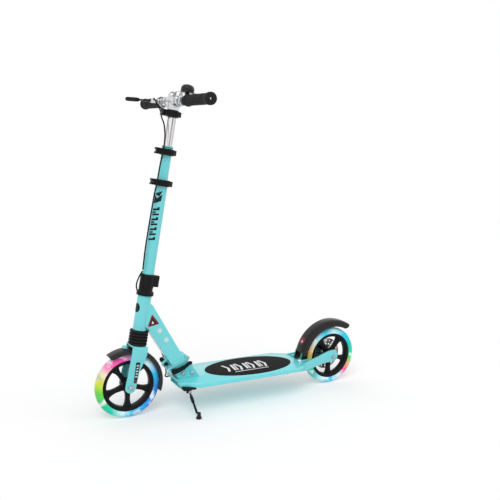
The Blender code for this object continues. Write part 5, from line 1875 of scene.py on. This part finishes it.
@dataclass
class BrakeLever(Assembly):
    """The lever blade with its ribbed rubber sleeve."""

    root: Vector = field(default_factory=lambda: Vector((-0.0560, 0.1650, BAR_HEIGHT)))
    tip: Vector = field(default_factory=lambda: Vector((-0.0750, 0.2085, BAR_HEIGHT)))

    def build(self) -> None:
        """Make the lever."""
        self.dress("brake_lever", BLACK_METAL, 0.0007)
        along = self.tip - self.root
        length = along.length
        profile: list[Point2] = [(0, 0), (0.0060, 0)]
        ribs = 9
        rib = ((0.0060, 0.0), (0.0066, 0.0010), (0.0066, 0.0024), (0.0060, 0.0034))
        for index in range(ribs):
            z = 0.003 + (length - 0.008) * index / ribs
            profile += [(radius, z + rise) for radius, rise in rib]
        profile += [(0.0064, length - 0.002), (0.0040, length + 0.0020), (0, length + 0.0026)]
        sleeve = lathe(filleted(profile, 0.0006, 2, False), 32, False)
        turn = Matrix.Translation(self.root) @ along.to_track_quat("Z", "Y").to_matrix().to_4x4()
        self.put("lever_sleeve", moved(sleeve, STEER @ turn), GRIP_RUBBER, (), 50.0)


@dataclass
class Stand(Assembly):
    """The kickstand's leg, bolt and foot."""

    pivot: Vector = field(default_factory=lambda: Vector((-0.1970, -0.0690, 0.0745)))

    def build(self) -> None:
        """Make the kickstand."""
        self.dress("kickstand_leg", BLACK_METAL, 0.0006)
        self.dress("kickstand_foot", GRIP_RUBBER, 0.0005)
        place = Matrix.Translation(self.pivot + Vector((0, -0.0031, 0))) @ ALONG_Y
        head = moved(socket_head(0.0050, 0.0020), place)
        self.put("kickstand_bolt", head, STEEL, (), 30.0)


@dataclass
class Cable(Assembly):
    """A run of brake cable between two bodies."""

    name: str = ""
    other: str = ""
    points: tuple[Vector, ...] = ()
    nodes: tuple[str, ...] = ()
    start: Vector = field(default_factory=Vector)
    end: Vector = field(default_factory=Vector)
    radius: float = 0.0022

    def carry(self, piece: bpy.types.Object) -> None:
        """Leave a run that reaches another body loose in the scooter's frame; make any other run
        ride on its body.
        """
        if self.other:
            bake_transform(piece)
        else:
            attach(piece, self.body)

    def build(self) -> None:
        """Make the cable."""
        mesh = sweep(smooth_path(self.points), self.radius, 12)
        self.put(self.name, mesh, CABLE_JACKET, self.nodes, 60.0)


def steered(*points: Point3) -> tuple[Vector, ...]:
    """Points moved from the steering frame to the scooter's frame."""
    return tuple(STEER @ Vector(point) for point in points)


def placed(*points: Point3) -> tuple[Vector, ...]:
    """Points that are in the scooter's frame already."""
    return tuple(Vector(point) for point in points)


def cables() -> list[Cable]:
    """The brake cable's runs, from the lever to the caliper."""
    lever_end = steered((-0.036, 0.0765, 0.857), (-0.040, 0.060, 0.858), (-0.038, 0.046, 0.846))
    bar = steered(
        (-0.038, 0.046, 0.846), (-0.026, 0.034, 0.825), (-0.024, 0.022, 0.806),
        (-0.0245, -0.008, 0.784), (-0.0245, -0.026, 0.757), (-0.0245, -0.0330, 0.733),
    )
    column = steered(
        (-0.0245, -0.0333, 0.7320), (-0.0250, -0.0340, 0.7050), (-0.0280, -0.0340, 0.660),
        (-0.0292, -0.0345, 0.6150), (-0.0285, -0.0260, 0.580), (-0.0255, -0.0140, 0.500),
        (-0.0245, -0.0100, 0.420), (-0.0235, -0.0130, 0.355),
    )
    neck = steered(
        (-0.0240, -0.0122, 0.3500), (-0.0265, 0.0020, 0.328), (-0.0230, 0.0200, 0.300),
        (-0.0100, 0.0300, 0.275), (0.0060, 0.0300, 0.245), (0.0220, 0.0275, 0.215),
        (0.0340, 0.0250, 0.190),
    ) + placed(
        (-0.2905, 0.0245, 0.2500), (-0.2700, 0.0245, 0.2150), (-0.2540, 0.0290, 0.1850),
        (-0.2420, 0.0320, 0.1560),
    )
    deck = placed(
        (-0.2418, 0.0320, 0.1550), (-0.2360, 0.0330, 0.1280), (-0.2300, 0.0420, 0.1040),
        (-0.2270, 0.0560, 0.0880), (-0.2100, 0.0620, 0.0830), (-0.1600, 0.0660, 0.0900),
        (0.0000, 0.0700, 0.0930), (0.1700, 0.0690, 0.0900), (0.2250, 0.0640, 0.0830),
        (0.2600, 0.0620, 0.0950), (0.2900, 0.0500, 0.1200), (0.3100, 0.0360, 0.1360),
        (0.3200, 0.0290, 0.1400),
    )

    def run(
        body: str,
        name: str,
        other: str,
        points: tuple[Vector, ...],
        ends: tuple[int, int],
        *nodes: str,
    ) -> Cable:
        """One run, with the two points whose indices are given kept as its ends."""
        return Cable(body, name, other, points, nodes, points[ends[0]], points[ends[1]])

    return [
        run("right_bar", "cable_at_lever", "handlebar", lever_end, (0, -1)),
        run("handlebar", "cable_upper_run", "upper_tube", bar, (2, -1), "cable_handlebar"),
        run("upper_tube", "cable_column_run", "column", column, (1, -2), "cable_column"),
        run("column", "cable_neck_run", "neck", neck, (0, 4), "cable_neck"),
        run("neck", "cable_deck_run", "deck", deck, (0, 4), "cable_deck"),
    ]


# Stage -----------------------------------------------------


@dataclass(frozen=True)
class Studio:
    """The floor, the lamps, the world and the camera."""

    eye: Point3 = (-1.0029, -1.8501, 0.8394)
    yaw: float = 29.325
    pitch: float = -9.258
    roll: float = 2.052
    lens: float = 47.99
    sky: float = 0.62
    floor_half: float = 6.0

    def build(self) -> None:
        """Make everything that isn't the object."""
        self.build_floor()
        self.build_world()
        self.build_lamps()
        self.build_camera()
        bpy.context.scene.view_settings.view_transform = "Standard"

    def build_floor(self) -> None:
        """Make the white floor."""
        bm = bmesh.new()
        bmesh.ops.create_grid(bm, x_segments=2, y_segments=2, size=self.floor_half)
        mesh = saved(bm, "floor")
        mesh.transform(shift(0, 0, -0.0002))
        mesh.materials.append(FLOOR_WHITE.material())
        linked("floor", mesh)

    def build_world(self) -> None:
        """Make an even sky, white to the eye and to reflections."""
        world = bpy.data.worlds.new("studio")
        bpy.context.scene.world = world
        world.use_nodes = True
        nodes, links = world.node_tree.nodes, world.node_tree.links
        nodes.clear()
        path = nodes.new("ShaderNodeLightPath")
        total = path.outputs["Is Camera Ray"]
        for name in ("Is Glossy Ray", "Is Transmission Ray"):
            added = nodes.new("ShaderNodeMath")
            added.operation = "ADD"
            added.use_clamp = True
            links.new(total, added.inputs[0])
            links.new(path.outputs[name], added.inputs[1])
            total = added.outputs[0]
        strength = nodes.new("ShaderNodeMapRange")
        strength.inputs["To Min"].default_value = self.sky
        strength.inputs["To Max"].default_value = 1.0
        links.new(total, strength.inputs["Value"])
        background = nodes.new("ShaderNodeBackground")
        background.inputs["Color"].default_value = (1, 1, 1, 1)
        links.new(strength.outputs[0], background.inputs["Strength"])
        links.new(background.outputs[0], nodes.new("ShaderNodeOutputWorld").inputs["Surface"])

    def build_lamps(self) -> None:
        """Make two soft suns: a key from the front left and a weak fill."""
        for name, energy, angle, turn in (
            ("key", 1.05, 38.0, (radians(38), radians(-14), radians(-18))),
            ("fill", 0.30, 60.0, (radians(52), 0.0, radians(70))),
        ):
            lamp = bpy.data.lights.new(name, "SUN")
            lamp.energy = energy
            lamp.angle = radians(angle)
            linked(name, lamp).rotation_euler = turn

    def build_camera(self) -> None:
        """Make the camera."""
        yaw, pitch, roll = radians(self.yaw), radians(self.pitch), radians(self.roll)
        forward = Vector((sin(yaw) * cos(pitch), cos(yaw) * cos(pitch), sin(pitch)))
        right = forward.cross(Vector((0, 0, 1))).normalized()
        up = right.cross(forward)
        rolled_right = right * cos(roll) + up * sin(roll)
        rolled_up = up * cos(roll) - right * sin(roll)
        camera = bpy.data.cameras.new("camera")
        camera.lens = self.lens
        camera.sensor_width = 36.0
        camera.clip_start = 0.05
        holder = linked("camera", camera)
        columns = Matrix((rolled_right, rolled_up, -forward)).transposed().to_4x4()
        holder.matrix_world = Matrix.Translation(self.eye) @ columns
        bpy.context.scene.camera = holder


def clear_startup() -> None:
    """Remove the startup scene's own objects."""
    kept = set(frame["nodes"].values()) | set(frame["bodies"].values())
    for found in list(bpy.data.objects):
        if found not in kept:
            bpy.data.objects.remove(found)


def assemblies() -> list[Assembly]:
    """Every assembly of the scooter, in building order."""
    guard = ("rear_mudguard", REAR_AXLE, 57.0, 168.0, 0.0235, 0.0235, 0.0030, GLOSS_PLASTIC)
    found: list[Assembly] = [
        Deck("deck"),
        Neck("neck"),
        Column("column"),
        Fork("fork"),
        UpperTube("upper_tube"),
        HandlebarHead("handlebar"),
        Wheel("front_wheel"),
        Wheel("rear_wheel", "rear", REAR_AXLE, REAR_TYRE),
        BrakeDisc("rear_wheel", "rear", REAR_AXLE, REAR_TYRE),
        Guard("fork"),
        FootBrake("rear_mudguard", *guard),
        Clamp("column", "mid_clamp", 0.6158, 0.0180),
        Clamp("upper_tube", "top_clamp", 0.7070, 0.0155),
        Clamp("handlebar", "stem_clamp", 0.8190, 0.0128),
        Grip("left_bar", Side.LEFT),
        Grip("right_bar", Side.RIGHT),
        Single("right_bar", "brake_perch", CHROME, 0.0008),
        Bell("left_bar"),
        BrakeLever("brake_lever"),
        Stand("kickstand"),
        Single("fold_lever", "fold_lever"),
        Single("mid_clamp_lever", "mid_clamp_lever"),
        Single("top_clamp_lever", "top_clamp_lever"),
        Single("stem_clamp_lever", "stem_clamp_lever"),
        Single("bell_striker", "bell_striker", BLACK_METAL, 0.0005),
        Single("caliper_arm", "caliper_arm", STEEL, 0.0005),
    ]
    return found + cables()


def main() -> None:
    """Build the scooter and its studio."""
    logging.basicConfig(level=logging.INFO, format="%(message)s")
    clear_startup()
    for assembly in assemblies():
        assembly.build()
    Studio().build()


if __name__ == "__main__":
    main()
